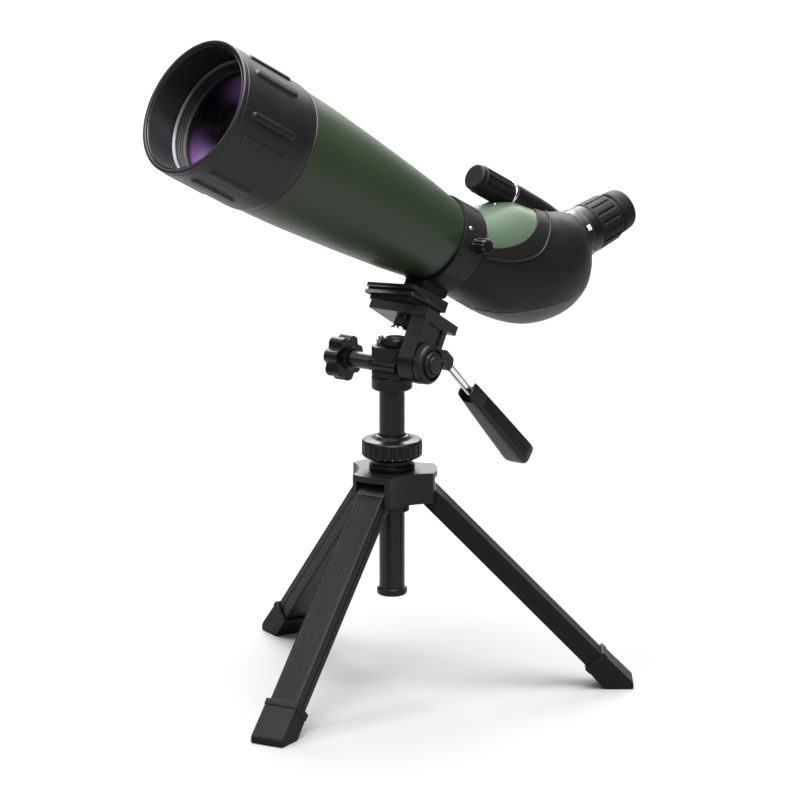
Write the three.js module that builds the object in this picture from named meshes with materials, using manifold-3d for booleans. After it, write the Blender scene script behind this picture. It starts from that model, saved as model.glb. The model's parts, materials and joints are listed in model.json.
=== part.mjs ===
// Angled spotting scope on a folding table tripod with a pan and tilt head.
// Millimetres, +Z up. The tripod column stands on the Z axis and the objective looks towards -Y.

import * as THREE from 'three';
import { ConvexGeometry } from 'three/addons/geometries/ConvexGeometry.js';
import { mergeVertices } from 'three/addons/utils/BufferGeometryUtils.js';
import Module from 'manifold-3d';

const wasm = await Module();
wasm.setup();

// ---------------------------------------------------------------- driving dimensions

const GAP = 0.3;                 // clearance kept between neighbouring solids
const ROUND = 24;                // facets round a large turned part
const SMALL = 12;                // facets round a small turned part

const LEG_AZIMUTH = 51.5;        // degrees, first leg; the others follow at 120 degrees
const LEG_SLOPE = 45.7;          // degrees below the horizontal, legs spread
const LEG_PIVOT_RADIUS = 20;
const LEG_PIVOT_HEIGHT = 146.9;
const LEG_WIDTH = 22;
const LEG_DEPTH = 14;
const LEG_TUBE_END = 188;        // measured along the leg from its hinge pin
const LEG_PIN_RADIUS = 2;

const HUB_BOTTOM = 136.4;
const HUB_TOP = 158.4;
const HUB_LOBE_REACH = 32;
const HUB_LOBE_HALF = 15;
const COLUMN_RADIUS = 9;
const COLUMN_BOTTOM = 70.4;
const COLUMN_TOP = 216.4;
const COLLAR_RADIUS = 21.4;      // knurled column clamp
const COLLAR_BOTTOM = 167.4;
const COLLAR_TOP = 179.7;

const HEAD_YAW = 15;             // degrees, pan angle of the head at rest
const HEAD_TILT = 30.4;          // degrees, nose up
const TILT_AXIS_HEIGHT = 237.9;
const SCOPE_TWIST = -13;         // degrees, scope foot turned on its camera screw
const HANDLE_DROP = 12.4;        // degrees, handle below the platform plane
const PLATFORM_TOP = 36.4;       // above the tilt axis
const PLATFORM_BOTTOM = 29.6;
const ARM_INNER = 15.3;
const ARM_OUTER = 28;
const ARM_HALF = 14.8;
const SPINDLE_AXIS = -5.2;       // pan lock shaft, below the tilt axis

const SCOPE_AXIS = 90.75;        // optical axis above the tilt axis
const SCREW_STATION = 236.7;     // camera screw, behind the dew shield's rim
const SHIELD_LENGTH = 71.6;
const SHIELD_RADIUS = 49;
const BARREL_FRONT_RADIUS = 47;
const CLAMP_FRONT = 238;         // rotating tripod collar
const CLAMP_REAR = 258.8;
const CLAMP_RADIUS = 33.5;
const HOUSING_FRONT = 259.4;
const SKIN = 2.4;                // rubber armour thickness
const CASTING = 2.6;             // wall of the prism housing
const EYEPIECE_STATION = 311.5;  // where the eyepiece axis meets the optical axis
const FOCUS_AXIS = 55.3;         // focus knob above the optical axis

// ---------------------------------------------------------------- materials

const look = (color, roughness, metalness = 0) => ({ color, roughness, metalness });
const LOOKS = {
  greenPaint: look(0x2c3d2a, 0.42, 0.3),
  rubber: look(0x262527, 0.85),
  satinPlastic: look(0x1b1a1b, 0.5),
  mattPlastic: look(0x2e2d2f, 0.7),
  blackAnodised: look(0x1d1c1d, 0.4, 0.6),
  blackPaint: look(0x141414, 0.6, 0.3),
  greyMetal: look(0x6d6d70, 0.35, 0.7),
  chrome: look(0xd8d8d8, 0.15, 1),
  steel: look(0x9a9a9c, 0.35, 1),
  brass: look(0xb29a55, 0.35, 1),
  glass: look(0x5a3f78, 0.05),
  clearGlass: look(0xcfd8d8, 0.05),
};

// ---------------------------------------------------------------- solid helpers

// A closed three.js geometry as a manifold solid, with its faces turned outwards.
function solid(geometry) {
  const bare = geometry.index ? geometry.toNonIndexed() : geometry.clone();
  const shape = new THREE.BufferGeometry().setAttribute('position', bare.getAttribute('position'));
  const merged = mergeVertices(shape, 1e-4);
  const build = (triVerts) => new wasm.Manifold(new wasm.Mesh({
    numProp: 3, vertProperties: merged.attributes.position.array, triVerts,
  }));
  const faces = new Uint32Array(merged.index.array);
  const made = build(faces);
  return made.volume() >= 0 ? made : build(faces.map((_, i) => faces[i - (i % 3) + 2 - (i % 3)]));
}

// The geometry of a manifold solid.
function geometryOf(made) {
  const mesh = made.getMesh();
  const geometry = new THREE.BufferGeometry();
  geometry.setAttribute('position', new THREE.BufferAttribute(mesh.vertProperties, 3));
  geometry.setIndex(new THREE.BufferAttribute(mesh.triVerts, 1));
  return geometry;
}

const placed = (geometry, x = 0, y = 0, z = 0) => geometry.translate(x, y, z);

// A turned part about +Z from [radius, height] points; a ring repeats its first point.
function turned(profile, facets = ROUND) {
  const points = profile.map(([radius, height]) => new THREE.Vector2(radius, height));
  return solid(new THREE.LatheGeometry(points, facets).rotateX(Math.PI / 2));
}

// A ring or sleeve with straight walls.
const ring = (inner, outer, low, high, facets = ROUND) => turned(
  [[inner, low], [outer, low], [outer, high], [inner, high], [inner, low]], facets);

// A solid rod or disc.
const rod = (radius, low, high, facets = SMALL) => turned(
  [[0, low], [radius, low], [radius, high], [0, high]], facets);

// A box from its low corner to its high corner.
function box(low, high) {
  const size = high.map((value, i) => value - low[i]);
  const middle = high.map((value, i) => (value + low[i]) / 2);
  return solid(placed(new THREE.BoxGeometry(...size), ...middle));
}

// A flat outline in XY pushed up +Z from low to high.
function pushed(shape, low, high, curveSegments = 8) {
  const settings = { depth: high - low, bevelEnabled: false, curveSegments };
  return solid(placed(new THREE.ExtrudeGeometry(shape, settings), 0, 0, low));
}

// An outline through straight points.
const outline = (points) => new THREE.Shape(points.map(([x, y]) => new THREE.Vector2(x, y)));

// A solid moved by a three.js matrix.
const moved = (made, matrix) => solid(geometryOf(made).applyMatrix4(matrix));

// Turn a part made about +Z so that its axis lies along another direction.
const alongX = (made) => moved(made, new THREE.Matrix4().makeRotationY(Math.PI / 2));
const alongY = (made) => moved(made, new THREE.Matrix4().makeRotationX(-Math.PI / 2));
const shifted = (made, x, y, z) => moved(made, new THREE.Matrix4().makeTranslation(x, y, z));
const spun = (made, degrees) => moved(
  made, new THREE.Matrix4().makeRotationZ(THREE.MathUtils.degToRad(degrees)));

// Grooves cut along the outside of a turned part.
function grooved(made, count, radius, width, depth, low, high) {
  let result = made;
  for (let i = 0; i < count; i += 1) {
    const groove = box([radius - depth, -width / 2, low], [radius + depth, width / 2, high]);
    result = result.subtract(spun(groove, (360 * i) / count));
  }
  return result;
}

// ---------------------------------------------------------------- scene graph helpers

const object = new THREE.Group();

function add(group, name, made, looks) {
  const geometry = geometryOf(made);
  geometry.computeVertexNormals();
  const mesh = new THREE.Mesh(geometry, new THREE.MeshStandardMaterial(looks));
  mesh.name = name;
  group.add(mesh);
  return mesh;
}

// A sub-group with its own place and turns, in degrees, applied in the order given.
function frameIn(parent, place, turns = []) {
  const group = new THREE.Group();
  group.position.set(...place);
  for (const [axis, degrees] of turns) group[`rotate${axis}`](THREE.MathUtils.degToRad(degrees));
  parent.add(group);
  return group;
}

// ---------------------------------------------------------------- tripod base

// Three rounded lobes with hollow sides between them.
function hubPlan() {
  const shape = new THREE.Shape();
  const corner = Math.atan2(HUB_LOBE_HALF, HUB_LOBE_REACH - 3);
  const reach = Math.hypot(HUB_LOBE_HALF, HUB_LOBE_REACH - 3);
  for (let i = 0; i < 3; i += 1) {
    const middle = (i * 2 * Math.PI) / 3;
    const at = (angle, radius) => [radius * Math.cos(angle), radius * Math.sin(angle)];
    const start = at(middle - corner, reach);
    if (i === 0) shape.moveTo(...start);
    shape.quadraticCurveTo(...at(middle, HUB_LOBE_REACH + 3), ...at(middle + corner, reach));
    const next = at(middle + (2 * Math.PI) / 3 - corner, reach);
    shape.quadraticCurveTo(...at(middle + Math.PI / 3, 9), ...next);
  }
  return shape;
}

function buildHub() {
  const slotHalf = LEG_WIDTH / 2 + 0.4;
  let hub = pushed(hubPlan(), HUB_BOTTOM, HUB_TOP, 5);
  hub = hub.add(rod(12.6, HUB_BOTTOM - 8, HUB_TOP - 1, 20));
  for (let i = 0; i < 3; i += 1) {
    const slot = box([12.7, -slotHalf, HUB_BOTTOM - 1], [45, slotHalf, HUB_TOP - 4]);
    const pinHole = shifted(alongY(rod(LEG_PIN_RADIUS + GAP, -20, 20, 12)),
      LEG_PIVOT_RADIUS, 0, LEG_PIVOT_HEIGHT);
    hub = hub.subtract(spun(slot.add(pinHole), 120 * i));
  }
  hub = hub.subtract(rod(11.2, HUB_BOTTOM - 20, HUB_TOP + 20, 20));
  add(frameIn(base, [0, 0, 0], [['Z', LEG_AZIMUTH]]), 'tripod_hub', hub, LOOKS.satinPlastic);

  const neckTop = COLLAR_BOTTOM - 1.5;
  const neck = turned([[11.4, HUB_TOP + GAP], [16.2, HUB_TOP + GAP], [16.2, neckTop - 1.5],
    [14.5, neckTop], [11.4, neckTop], [11.4, HUB_TOP + GAP]], 20);
  add(base, 'clamp_neck', neck, LOOKS.satinPlastic);
  add(base, 'column_bushing', ring(COLUMN_RADIUS + GAP, 10.9, HUB_BOTTOM - 7, neckTop, 20), LOOKS.mattPlastic);
}

function buildLeg(index) {
  const turn = LEG_AZIMUTH + 120 * index;
  const radians = THREE.MathUtils.degToRad(turn);
  const pivot = [LEG_PIVOT_RADIUS * Math.cos(radians), LEG_PIVOT_RADIUS * Math.sin(radians),
    LEG_PIVOT_HEIGHT];
  const pinFrame = frameIn(object, pivot, [['Z', turn]]);
  add(pinFrame, `leg_pin_${index + 1}`, alongY(rod(LEG_PIN_RADIUS, -14.2, 14.2, 10)), LOOKS.steel);

  // The leg's own frame: +X along the leg, +Y along the pin, +Z out of its upper face.
  const leg = frameIn(object, pivot, [['Z', turn], ['Y', LEG_SLOPE]]);
  const halfWidth = LEG_WIDTH / 2;
  const halfDepth = LEG_DEPTH / 2;

  let tube = box([9, -halfWidth, -halfDepth], [LEG_TUBE_END, halfWidth, halfDepth]);
  tube = tube.subtract(box([0, -halfWidth + 1.6, -halfDepth + 1.6],
    [LEG_TUBE_END + 1, halfWidth - 1.6, halfDepth - 1.6]));
  for (const y of [-5.2, 0, 5.2]) {
    tube = tube.subtract(box([0, y - 1.2, halfDepth - 0.7], [LEG_TUBE_END + 1, y + 1.2, halfDepth + 1]));
  }
  add(leg, `leg_tube_${index + 1}`, tube, LOOKS.blackAnodised);

  // The hinge block: a round eye on the pin and a tongue inside the tube.
  const tongueHalf = [halfWidth - 1.6 - GAP, halfDepth - 1.6 - GAP];
  let block = alongY(rod(halfDepth - 0.4, -halfWidth, halfWidth, 16));
  block = block.add(box([0, -halfWidth, -halfDepth + 0.4], [9 - GAP, halfWidth, halfDepth - 0.4]));
  block = block.add(box([8, -tongueHalf[0], -tongueHalf[1]], [34, tongueHalf[0], tongueHalf[1]]));
  block = block.subtract(alongY(rod(LEG_PIN_RADIUS + GAP, -20, 20, 10)));
  add(leg, `leg_hinge_block_${index + 1}`, block, LOOKS.satinPlastic);

  // The foot: a boot over the tube's end, cut level with the ground.
  const slope = THREE.MathUtils.degToRad(LEG_SLOPE);
  const groundAt = (z) => (LEG_PIVOT_HEIGHT + z * Math.cos(slope)) / Math.sin(slope);
  const top = LEG_TUBE_END - 12;
  const side = outline([[top, -9], [groundAt(-9.2), -9.2], [groundAt(8.9), 8.9], [top + 10, 8.9],
    [top, 8.3]]);
  const footHalf = halfWidth + 1.8;
  let foot = moved(pushed(side, -footHalf, footHalf), new THREE.Matrix4().makeRotationX(Math.PI / 2));
  foot = foot.subtract(box([top - 10, -halfWidth - GAP, -halfDepth - GAP],
    [LEG_TUBE_END + GAP, halfWidth + GAP, halfDepth + GAP]));
  add(leg, `foot_${index + 1}`, foot, LOOKS.rubber);
}

function buildColumn() {
  const inner = COLUMN_RADIUS - 1.8;
  add(base, 'column_tube', ring(inner, COLUMN_RADIUS, COLUMN_BOTTOM, COLUMN_TOP, 20), LOOKS.blackAnodised);
  const foot = COLUMN_BOTTOM - 3.5;
  const cap = turned([[0, foot], [9.6, foot], [10.7, foot + 1], [10.7, foot + 5.5],
    [COLUMN_RADIUS + GAP, foot + 5.5], [COLUMN_RADIUS + GAP, COLUMN_BOTTOM - GAP],
    [inner - GAP, COLUMN_BOTTOM - GAP], [inner - GAP, COLUMN_BOTTOM + 8], [0, COLUMN_BOTTOM + 8]], 20);
  add(base, 'column_end_cap', cap, LOOKS.satinPlastic);

  let collar = turned([[COLUMN_RADIUS + 1, COLLAR_BOTTOM], [COLLAR_RADIUS - 1, COLLAR_BOTTOM],
    [COLLAR_RADIUS, COLLAR_BOTTOM + 1], [COLLAR_RADIUS, COLLAR_TOP - 1],
    [COLLAR_RADIUS - 1.4, COLLAR_TOP], [14, COLLAR_TOP + 0.6], [10.8, COLLAR_TOP + 3.4],
    [COLUMN_RADIUS + 1, COLLAR_TOP + 3.4], [COLUMN_RADIUS + 1, COLLAR_BOTTOM]], 24);
  collar = grooved(collar, 12, COLLAR_RADIUS, 2, 1.2, COLLAR_BOTTOM - 1, COLLAR_TOP - 1);
  add(base, 'column_clamp_collar', collar, LOOKS.satinPlastic);
}

// ---------------------------------------------------------------- pan and tilt head

function buildPanHead() {
  const seat = COLUMN_TOP + GAP;
  const socketTop = COLUMN_TOP + 8.6;
  const socket = turned([[0, seat], [COLUMN_RADIUS + GAP, seat], [COLUMN_RADIUS + GAP, seat - 0.8],
    [13.6, seat - 0.8], [14.4, seat], [14.4, socketTop], [0, socketTop]], 20)
    .add(rod(5, socketTop - 1, socketTop + 16));
  add(base, 'column_head_socket', socket, LOOKS.satinPlastic);

  const bottom = socketTop + 0.4 - TILT_AXIS_HEIGHT;
  const chamfered = outline([[-12, -8], [-7, -12], [9, -12], [13.5, -8], [13.5, 8], [9, 12], [-7, 12],
    [-12, 8]]);
  let block = pushed(chamfered, bottom, 9);
  block = block.add(shifted(alongX(rod(6.4, -16, -6)), 0, 0, SPINDLE_AXIS));
  block = block.subtract(rod(5 + GAP, bottom - 1, bottom + 16));
  block = block.subtract(shifted(alongX(rod(3 + GAP, -20, -2)), 0, 0, SPINDLE_AXIS));
  block = block.subtract(alongX(rod(4 + GAP, 6, 20)));
  block = block.subtract(shifted(rod(1.6 + GAP, 4, 12, 10), -9.2, 0, 0));
  add(pan, 'head_block', block, LOOKS.satinPlastic);

  const lid = turned([[0, 9 + GAP], [8.2, 9 + GAP], [8.2, 14.4], [6.6, 16.2], [0, 16.2]], 20);
  add(pan, 'head_cap', shifted(lid, 3, 0, 0), LOOKS.satinPlastic);
  const bolt = rod(1.6, 5, 10, 10).add(turned([[0, 9 + GAP], [3, 9 + GAP], [3, 13.8], [2.2, 15.4],
    [0, 15.4]], 6));
  add(pan, 'head_bolt', shifted(bolt, -9.2, 0, 0), LOOKS.chrome);

  // Pan lock: a star knob on a smooth shaft.
  const star = new THREE.Shape();
  const lobes = 7;
  const steps = lobes * 6;
  for (let i = 0; i < steps; i += 1) {
    const angle = (i * 2 * Math.PI) / steps;
    const radius = 15.2 + 1.7 * Math.cos(lobes * angle);
    star[i ? 'lineTo' : 'moveTo'](radius * Math.cos(angle), radius * Math.sin(angle));
  }
  let knob = alongX(pushed(star, -48.5, -37.2)).add(alongX(rod(8, -38, -34.5)));
  knob = knob.subtract(alongX(rod(3 + GAP, -45, -30)));
  add(pan, 'pan_lock_knob', shifted(knob, 0, 0, SPINDLE_AXIS), LOOKS.satinPlastic);
  const shaft = alongX(rod(3, -44.6, -5.8)).add(alongX(rod(5.8, -34.2, -16.4)));
  add(pan, 'pan_lock_shaft', shifted(shaft, 0, 0, SPINDLE_AXIS), LOOKS.greyMetal);
}

function buildTiltHead() {
  let bracket = box([-21.2, -15.8, PLATFORM_BOTTOM], [ARM_OUTER, 25.3, PLATFORM_TOP]);
  bracket = bracket.add(box([ARM_INNER, -ARM_HALF, 0], [ARM_OUTER, ARM_HALF, PLATFORM_BOTTOM + 1]));
  bracket = bracket.add(alongX(rod(ARM_HALF, ARM_INNER, ARM_OUTER, 24)));
  bracket = bracket.subtract(box([ARM_OUTER - 1.5, -9.5, 16.5], [ARM_OUTER + 5, 9.5, 27]));
  bracket = bracket.subtract(alongX(rod(4 + GAP, 10, 40)));
  bracket = bracket.subtract(rod(3.2 + GAP, 20, 40, 12));
  add(tilt, 'tilt_bracket', bracket, LOOKS.satinPlastic);

  const shaft = alongX(rod(4, 6.4, 36));
  add(tilt, 'tilt_shaft', shaft, LOOKS.steel);

  // The clamp cap outside the arm, with the lug that takes the handle.
  const cap = turned([[0, 36.3], [4 + GAP, 36.3], [4 + GAP, ARM_OUTER + GAP], [14.4, ARM_OUTER + GAP],
    [14.4, 33.6], [13, 35], [8.6, 35], [8.6, 37], [6.2, 37], [6.2, 38.6], [0, 38.6]], 24);
  let clamp = alongX(cap);
  const lugTurn = new THREE.Matrix4().makeRotationX(THREE.MathUtils.degToRad(-HANDLE_DROP));
  clamp = clamp.add(moved(box([28.8, 6, 5.6], [37.4, 18.4, 15.6]), lugTurn));
  clamp = clamp.subtract(moved(shifted(alongY(rod(3 + GAP, 9, 30, 12)), 33, 0, 11), lugTurn));
  add(tilt, 'tilt_clamp_cap', clamp, LOOKS.mattPlastic);

  // The camera screw and its finger knob under the platform.
  const screw = rod(3.2, 21, 41, 12).add(rod(6.8, 20.6, 21.7, 16));
  add(tilt, 'camera_screw', screw, LOOKS.chrome);
  const finger = turned([[3.2 + GAP, 22], [5.6, 22], [6.4, 22.8], [6.4, 29.2], [3.2 + GAP, 29.2],
    [3.2 + GAP, 22]], 16);
  add(tilt, 'camera_screw_knob', finger, LOOKS.satinPlastic);
}

function buildHandle() {
  // +Y runs down the handle from the tilt axis.
  const stem = shifted(alongY(rod(3, 10, 80)), 33, 0, 11);
  add(handle, 'handle_rod', stem, LOOKS.chrome);
  const start = 50;
  const end = 139;
  const widths = [[start, 6.2, 6], [start + 20, 7.6, 6.6], [end - 30, 9.2, 7.4], [end - 4, 10.6, 8.2],
    [end, 9.8, 7.6]];
  const corners = widths.flatMap(([y, halfX, halfZ]) => [[-1, -1], [1, -1], [1, 1], [-1, 1]].flatMap(
    ([x, z]) => [new THREE.Vector3(x * halfX, y, z * (halfZ - 2)),
      new THREE.Vector3(x * (halfX - 2), y, z * halfZ)]));
  let grip = shifted(solid(new ConvexGeometry(corners)), 33, 0, 11);
  grip = grip.subtract(shifted(alongY(rod(3 + GAP, 40, 81)), 33, 0, 11));
  grip = grip.subtract(box([29.2, start - 1, -2], [36.8, start + 9, 30]));
  add(handle, 'handle_grip', grip, LOOKS.mattPlastic);
}

// ---------------------------------------------------------------- scope mount

function buildMount() {
  // Foot plate, neck and clamp ring in one casting; +Y runs back along the optical axis.
  const floor = -(SCOPE_AXIS - PLATFORM_TOP) + GAP;
  const s = SCREW_STATION;
  let casting = box([-25, s - 22, floor + 3.4], [25, s + 13, floor + 11]);
  casting = casting.add(box([-21.5, s - 19, floor], [21.5, s + 12, floor + 4]));
  casting = casting.subtract(box([-30, s - 26, floor + 5.6], [30, s - 19, floor + 8.2]));
  casting = casting.add(box([-10, s - 5, floor + 10], [10, CLAMP_REAR, -30]));
  casting = casting.add(alongY(rod(CLAMP_RADIUS, CLAMP_FRONT, CLAMP_REAR, ROUND)));
  casting = casting.subtract(alongY(rod(33.2, s - 30, CLAMP_FRONT, ROUND)));
  casting = casting.subtract(alongY(rod(30, s - 40, CLAMP_REAR + 9, ROUND)));
  casting = casting.subtract(shifted(rod(3.2 + GAP, floor - 1, floor + 9, 12), 0, s, 0));
  casting = casting.subtract(shifted(alongX(rod(2 + GAP, 20, 40, 12)), 0, 248.4, 0));
  add(scope, 'mount_collar', casting, LOOKS.mattPlastic);

  const stud = shifted(alongX(rod(2, 30.6, 46, 10)), 0, 248.4, 0);
  add(scope, 'collar_lock_stud', stud, LOOKS.chrome);
  let knob = turned([[2 + GAP, 34.6], [4.2, 34.6], [4.2, 36.4], [5.6, 36.8], [5.6, 47], [4.8, 48],
    [0, 48], [0, 46.4], [2 + GAP, 46.4], [2 + GAP, 34.6]], 16);
  knob = grooved(knob, 8, 5.6, 1, 0.5, 37.5, 49);
  add(scope, 'collar_lock_knob', shifted(alongX(knob), 0, 248.4, 0), LOOKS.satinPlastic);
}

// ---------------------------------------------------------------- telescope tube

// Turned parts on the optical axis, from [radius, station] points.
const onAxis = (profile, facets = ROUND) => alongY(turned(profile, facets));

function buildTube() {
  // The dew shield slides forward over the front of the barrel.
  const shield = onAxis([[45.6, 0], [48.4, 0], [SHIELD_RADIUS, 0.8], [SHIELD_RADIUS, 8],
    [48.3, 66], [47.2, SHIELD_LENGTH], [45, SHIELD_LENGTH], [45, 12], [45.6, 0]], 24);
  let ribbed = shield;
  for (let i = 0; i < 12; i += 1) {
    const rib = box([-1.6, 20, SHIELD_RADIUS - 2], [1.6, 50, SHIELD_RADIUS + 0.5]);
    const turn = new THREE.Matrix4().makeRotationY(THREE.MathUtils.degToRad(30 * i));
    ribbed = ribbed.add(moved(rib, turn));
  }
  add(scope, 'dew_shield', ribbed, LOOKS.rubber);

  const barrel = onAxis([[42.6, 36], [44.6, 36], [44.6, SHIELD_LENGTH + GAP],
    [BARREL_FRONT_RADIUS, SHIELD_LENGTH + GAP], [45.4, 105], [40.8, 160], [35.9, 207],
    [32.8, 230], [31.5, CLAMP_FRONT - 1], [29.5, CLAMP_FRONT - GAP], [29.5, 270], [26.6, 270],
    [26.6, 236], [33.4, 205], [42.4, 100], [42.6, 36]], 24);
  add(scope, 'barrel', barrel, LOOKS.greenPaint);

  // Objective: a threaded cell with two lenses and a retaining ring.
  const cell = onAxis([[38.6, 58], [38.6, 56], [41, 56], [41, 30], [42, 30], [42, 26], [44.4, 26],
    [44.4, 35.6], [42.3, 35.6], [42.3, 58], [38.6, 58]], 24);
  add(scope, 'objective_cell', cell, LOOKS.blackPaint);
  const crown = onAxis([[0, 31], [20, 32.2], [40.6, 36.4], [40.6, 40.2], [0, 44]], 24);
  add(scope, 'objective_front_lens', crown, LOOKS.glass);
  const flint = onAxis([[0, 45.4], [40.6, 41.8], [40.6, 50], [20, 48.8], [0, 48.4]], 24);
  add(scope, 'objective_rear_lens', flint, LOOKS.clearGlass);
  add(scope, 'objective_retaining_ring', alongY(ring(38.8, 40.6, 30.4, 35.6, 24)), LOOKS.blackPaint);
  add(scope, 'barrel_baffle', onAxis([[27, 150], [27, 149], [37, 149], [37, 154], [36, 154],
    [36, 150], [27, 150]], 20), LOOKS.blackPaint);

  // The focusing lens rides on a carriage in the neck of the barrel.
  add(scope, 'focus_carriage', alongY(ring(22.4, 26.2, 246, 258, 20)), LOOKS.brass);
  add(scope, 'focus_lens', onAxis([[0, 250.6], [22, 249.4], [22, 254.6], [0, 253.4]], 24),
    LOOKS.clearGlass);
}

// ---------------------------------------------------------------- prism housing

const eyeDirection = new THREE.Vector3(0, Math.SQRT1_2, Math.SQRT1_2);

// A side-view outline of [y, z] points, given a thickness to each side of the middle plane.
function acrossX(shape, half) {
  const across = new THREE.Matrix4().set(0, 0, 1, 0, 1, 0, 0, 0, 0, 1, 0, 0, 0, 0, 0, 1);
  return moved(pushed(shape, -half, half), across);
}

// Points of the housing's outside, drawn in by an offset.
function housingPoints(inset) {
  const points = [];
  const ball = (x, y, z, radius) => {
    const sphere = new THREE.SphereGeometry(radius - inset, 10, 6);
    const place = sphere.attributes.position;
    for (let i = 0; i < place.count; i += 1) {
      points.push(new THREE.Vector3(place.getX(i) + x, place.getY(i) + y, place.getZ(i) + z));
    }
  };
  const disc = (centre, normal, radius) => {
    const turn = new THREE.Quaternion().setFromUnitVectors(new THREE.Vector3(0, 0, 1), normal);
    for (let i = 0; i < 20; i += 1) {
      const angle = (i * Math.PI) / 10;
      points.push(new THREE.Vector3(Math.cos(angle), Math.sin(angle), 0)
        .multiplyScalar(radius - inset).applyQuaternion(turn).add(centre));
    }
  };
  const backwards = new THREE.Vector3(0, 1, 0);
  disc(new THREE.Vector3(0, HOUSING_FRONT + inset, 0), backwards, 31.6);
  disc(new THREE.Vector3(0, HOUSING_FRONT + 10, 0), backwards, 32.4);
  ball(0, 306, 2, 35);
  ball(0, 336, 11, 34.4);
  ball(0, 352, 24, 33);
  ball(0, 316, 22, 33);
  const boss = new THREE.Vector3(0, EYEPIECE_STATION, 0).addScaledVector(eyeDirection, 73 - inset);
  disc(boss, eyeDirection, 19.4);
  return points;
}

const housingSolid = (inset) => solid(new ConvexGeometry(housingPoints(inset)));

// An upright oval through the top of the housing, for the painted saddle.
function saddleOval(grow) {
  const oval = new THREE.Shape();
  oval.absellipse(0, 291, 25 + grow, 36 + grow, 0, 2 * Math.PI);
  return pushed(oval, 12, 90, 6);
}

// A turned part on the eyepiece axis, from [radius, distance] points.
function onEyeAxis(profile, facets = ROUND) {
  const tip = new THREE.Matrix4().makeRotationX(-Math.PI / 4);
  return shifted(moved(turned(profile, facets), tip), 0, EYEPIECE_STATION, 0);
}

function buildHousing() {
  const outside = housingSolid(0);
  const underSkin = housingSolid(SKIN);
  const casting = housingSolid(SKIN + GAP);
  const cavity = housingSolid(SKIN + GAP + CASTING);

  // The lower shell lies below a plane that climbs towards the eyepiece.
  const seam = outline([[240, -60], [240, -33.2], [305, -33.2], [372, 14], [420, 48], [420, -60]]);
  const below = acrossX(seam, 60);
  const belowWide = shifted(below, 0, 0, GAP);

  const neckHole = alongY(rod(29.5 + GAP, 240, 271, ROUND));
  const lightWay = alongY(rod(20, 240, 292, 24));
  const eyeHole = onEyeAxis([[0, 50], [14.6, 50], [14.6, 73], [34, 73], [34, 100], [0, 100]], 24);

  let housing = casting.add(outside.intersect(saddleOval(-GAP))).subtract(cavity);
  const focusShell = focusBaseSolid();
  housing = housing.subtract(neckHole).subtract(lightWay).subtract(eyeHole).subtract(focusShell.room);
  add(scope, 'prism_housing', housing, LOOKS.greenPaint);

  let armour = outside.subtract(underSkin).subtract(belowWide).subtract(saddleOval(0));
  armour = armour.subtract(alongY(rod(31, 240, 268, ROUND))).subtract(eyeHole);
  armour = armour.subtract(focusShell.room);
  add(scope, 'rubber_armour', armour, LOOKS.rubber);

  const shell = outside.subtract(underSkin).intersect(below)
    .subtract(alongY(rod(31, 240, 268, ROUND))).subtract(eyeHole);
  add(scope, 'bottom_shell', shell, LOOKS.mattPlastic);

  add(scope, 'focus_base', focusShell.body, LOOKS.satinPlastic);
}

// The raised bed that carries the focus spindle, and the room it takes out of its neighbours.
function focusBaseSolid() {
  const arch = (grow) => {
    const front = alongY(rod(11 + grow, 297.3 - grow, 322 + grow, 16));
    return shifted(front, 0, 0, FOCUS_AXIS - 1);
  };
  const tail = (grow) => shifted(solid(new THREE.SphereGeometry(11 + grow, 12, 7)), 0, 334, 47);
  const points = (grow) => [arch(grow), tail(grow)].flatMap((piece) => {
    const place = geometryOf(piece).attributes.position;
    return Array.from({ length: place.count },
      (_, i) => new THREE.Vector3().fromBufferAttribute(place, i));
  });
  const body = solid(new ConvexGeometry(points(0)))
    .subtract(shifted(alongY(rod(3 + GAP, 290, 330, 12)), 0, 0, FOCUS_AXIS));
  const knobRoom = shifted(alongY(rod(11, 250, 299, 16)), 0, 0, FOCUS_AXIS);
  return { body, room: solid(new ConvexGeometry(points(GAP))).add(knobRoom) };
}

function buildPrisms() {
  // Schmidt roof prism and its half-pentagon partner on a shelf.
  const wedge = (points, half) => acrossX(outline(points), half);
  add(scope, 'half_pentagon_prism', wedge([[294, -14], [322, -14], [336, 0], [294, 14]], 14),
    LOOKS.clearGlass);
  add(scope, 'roof_prism', wedge([[296, 15.4], [337.4, 1], [345, 8], [330, 26], [312, 26]], 14),
    LOOKS.clearGlass);
  const shelf = box([-14, 293, -17], [14, 316, -14.6]);
  add(scope, 'prism_shelf', shelf, LOOKS.steel);
}

// ---------------------------------------------------------------- focuser and eyepiece

function buildFocuser() {
  let knob = turned([[0, 257], [8.6, 257], [9.4, 257.8], [9.4, 262], [10.3, 263], [10.3, 293],
    [9.6, 294.2], [4, 294.2], [4, 282], [0, 282]], 24);
  knob = grooved(knob, 12, 10.3, 1.6, 0.8, 264, 296);
  add(scope, 'focus_knob', shifted(alongY(knob), 0, 0, FOCUS_AXIS), LOOKS.rubber);
  const spindle = alongY(rod(3, 282.4, 329, 12));
  add(scope, 'focus_spindle', shifted(spindle, 0, 0, FOCUS_AXIS), LOOKS.steel);
  add(scope, 'focus_ring', shifted(alongY(ring(3.6, 10.6, 294.6, 297, 24)), 0, 0, FOCUS_AXIS),
    LOOKS.chrome);
}

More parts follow.
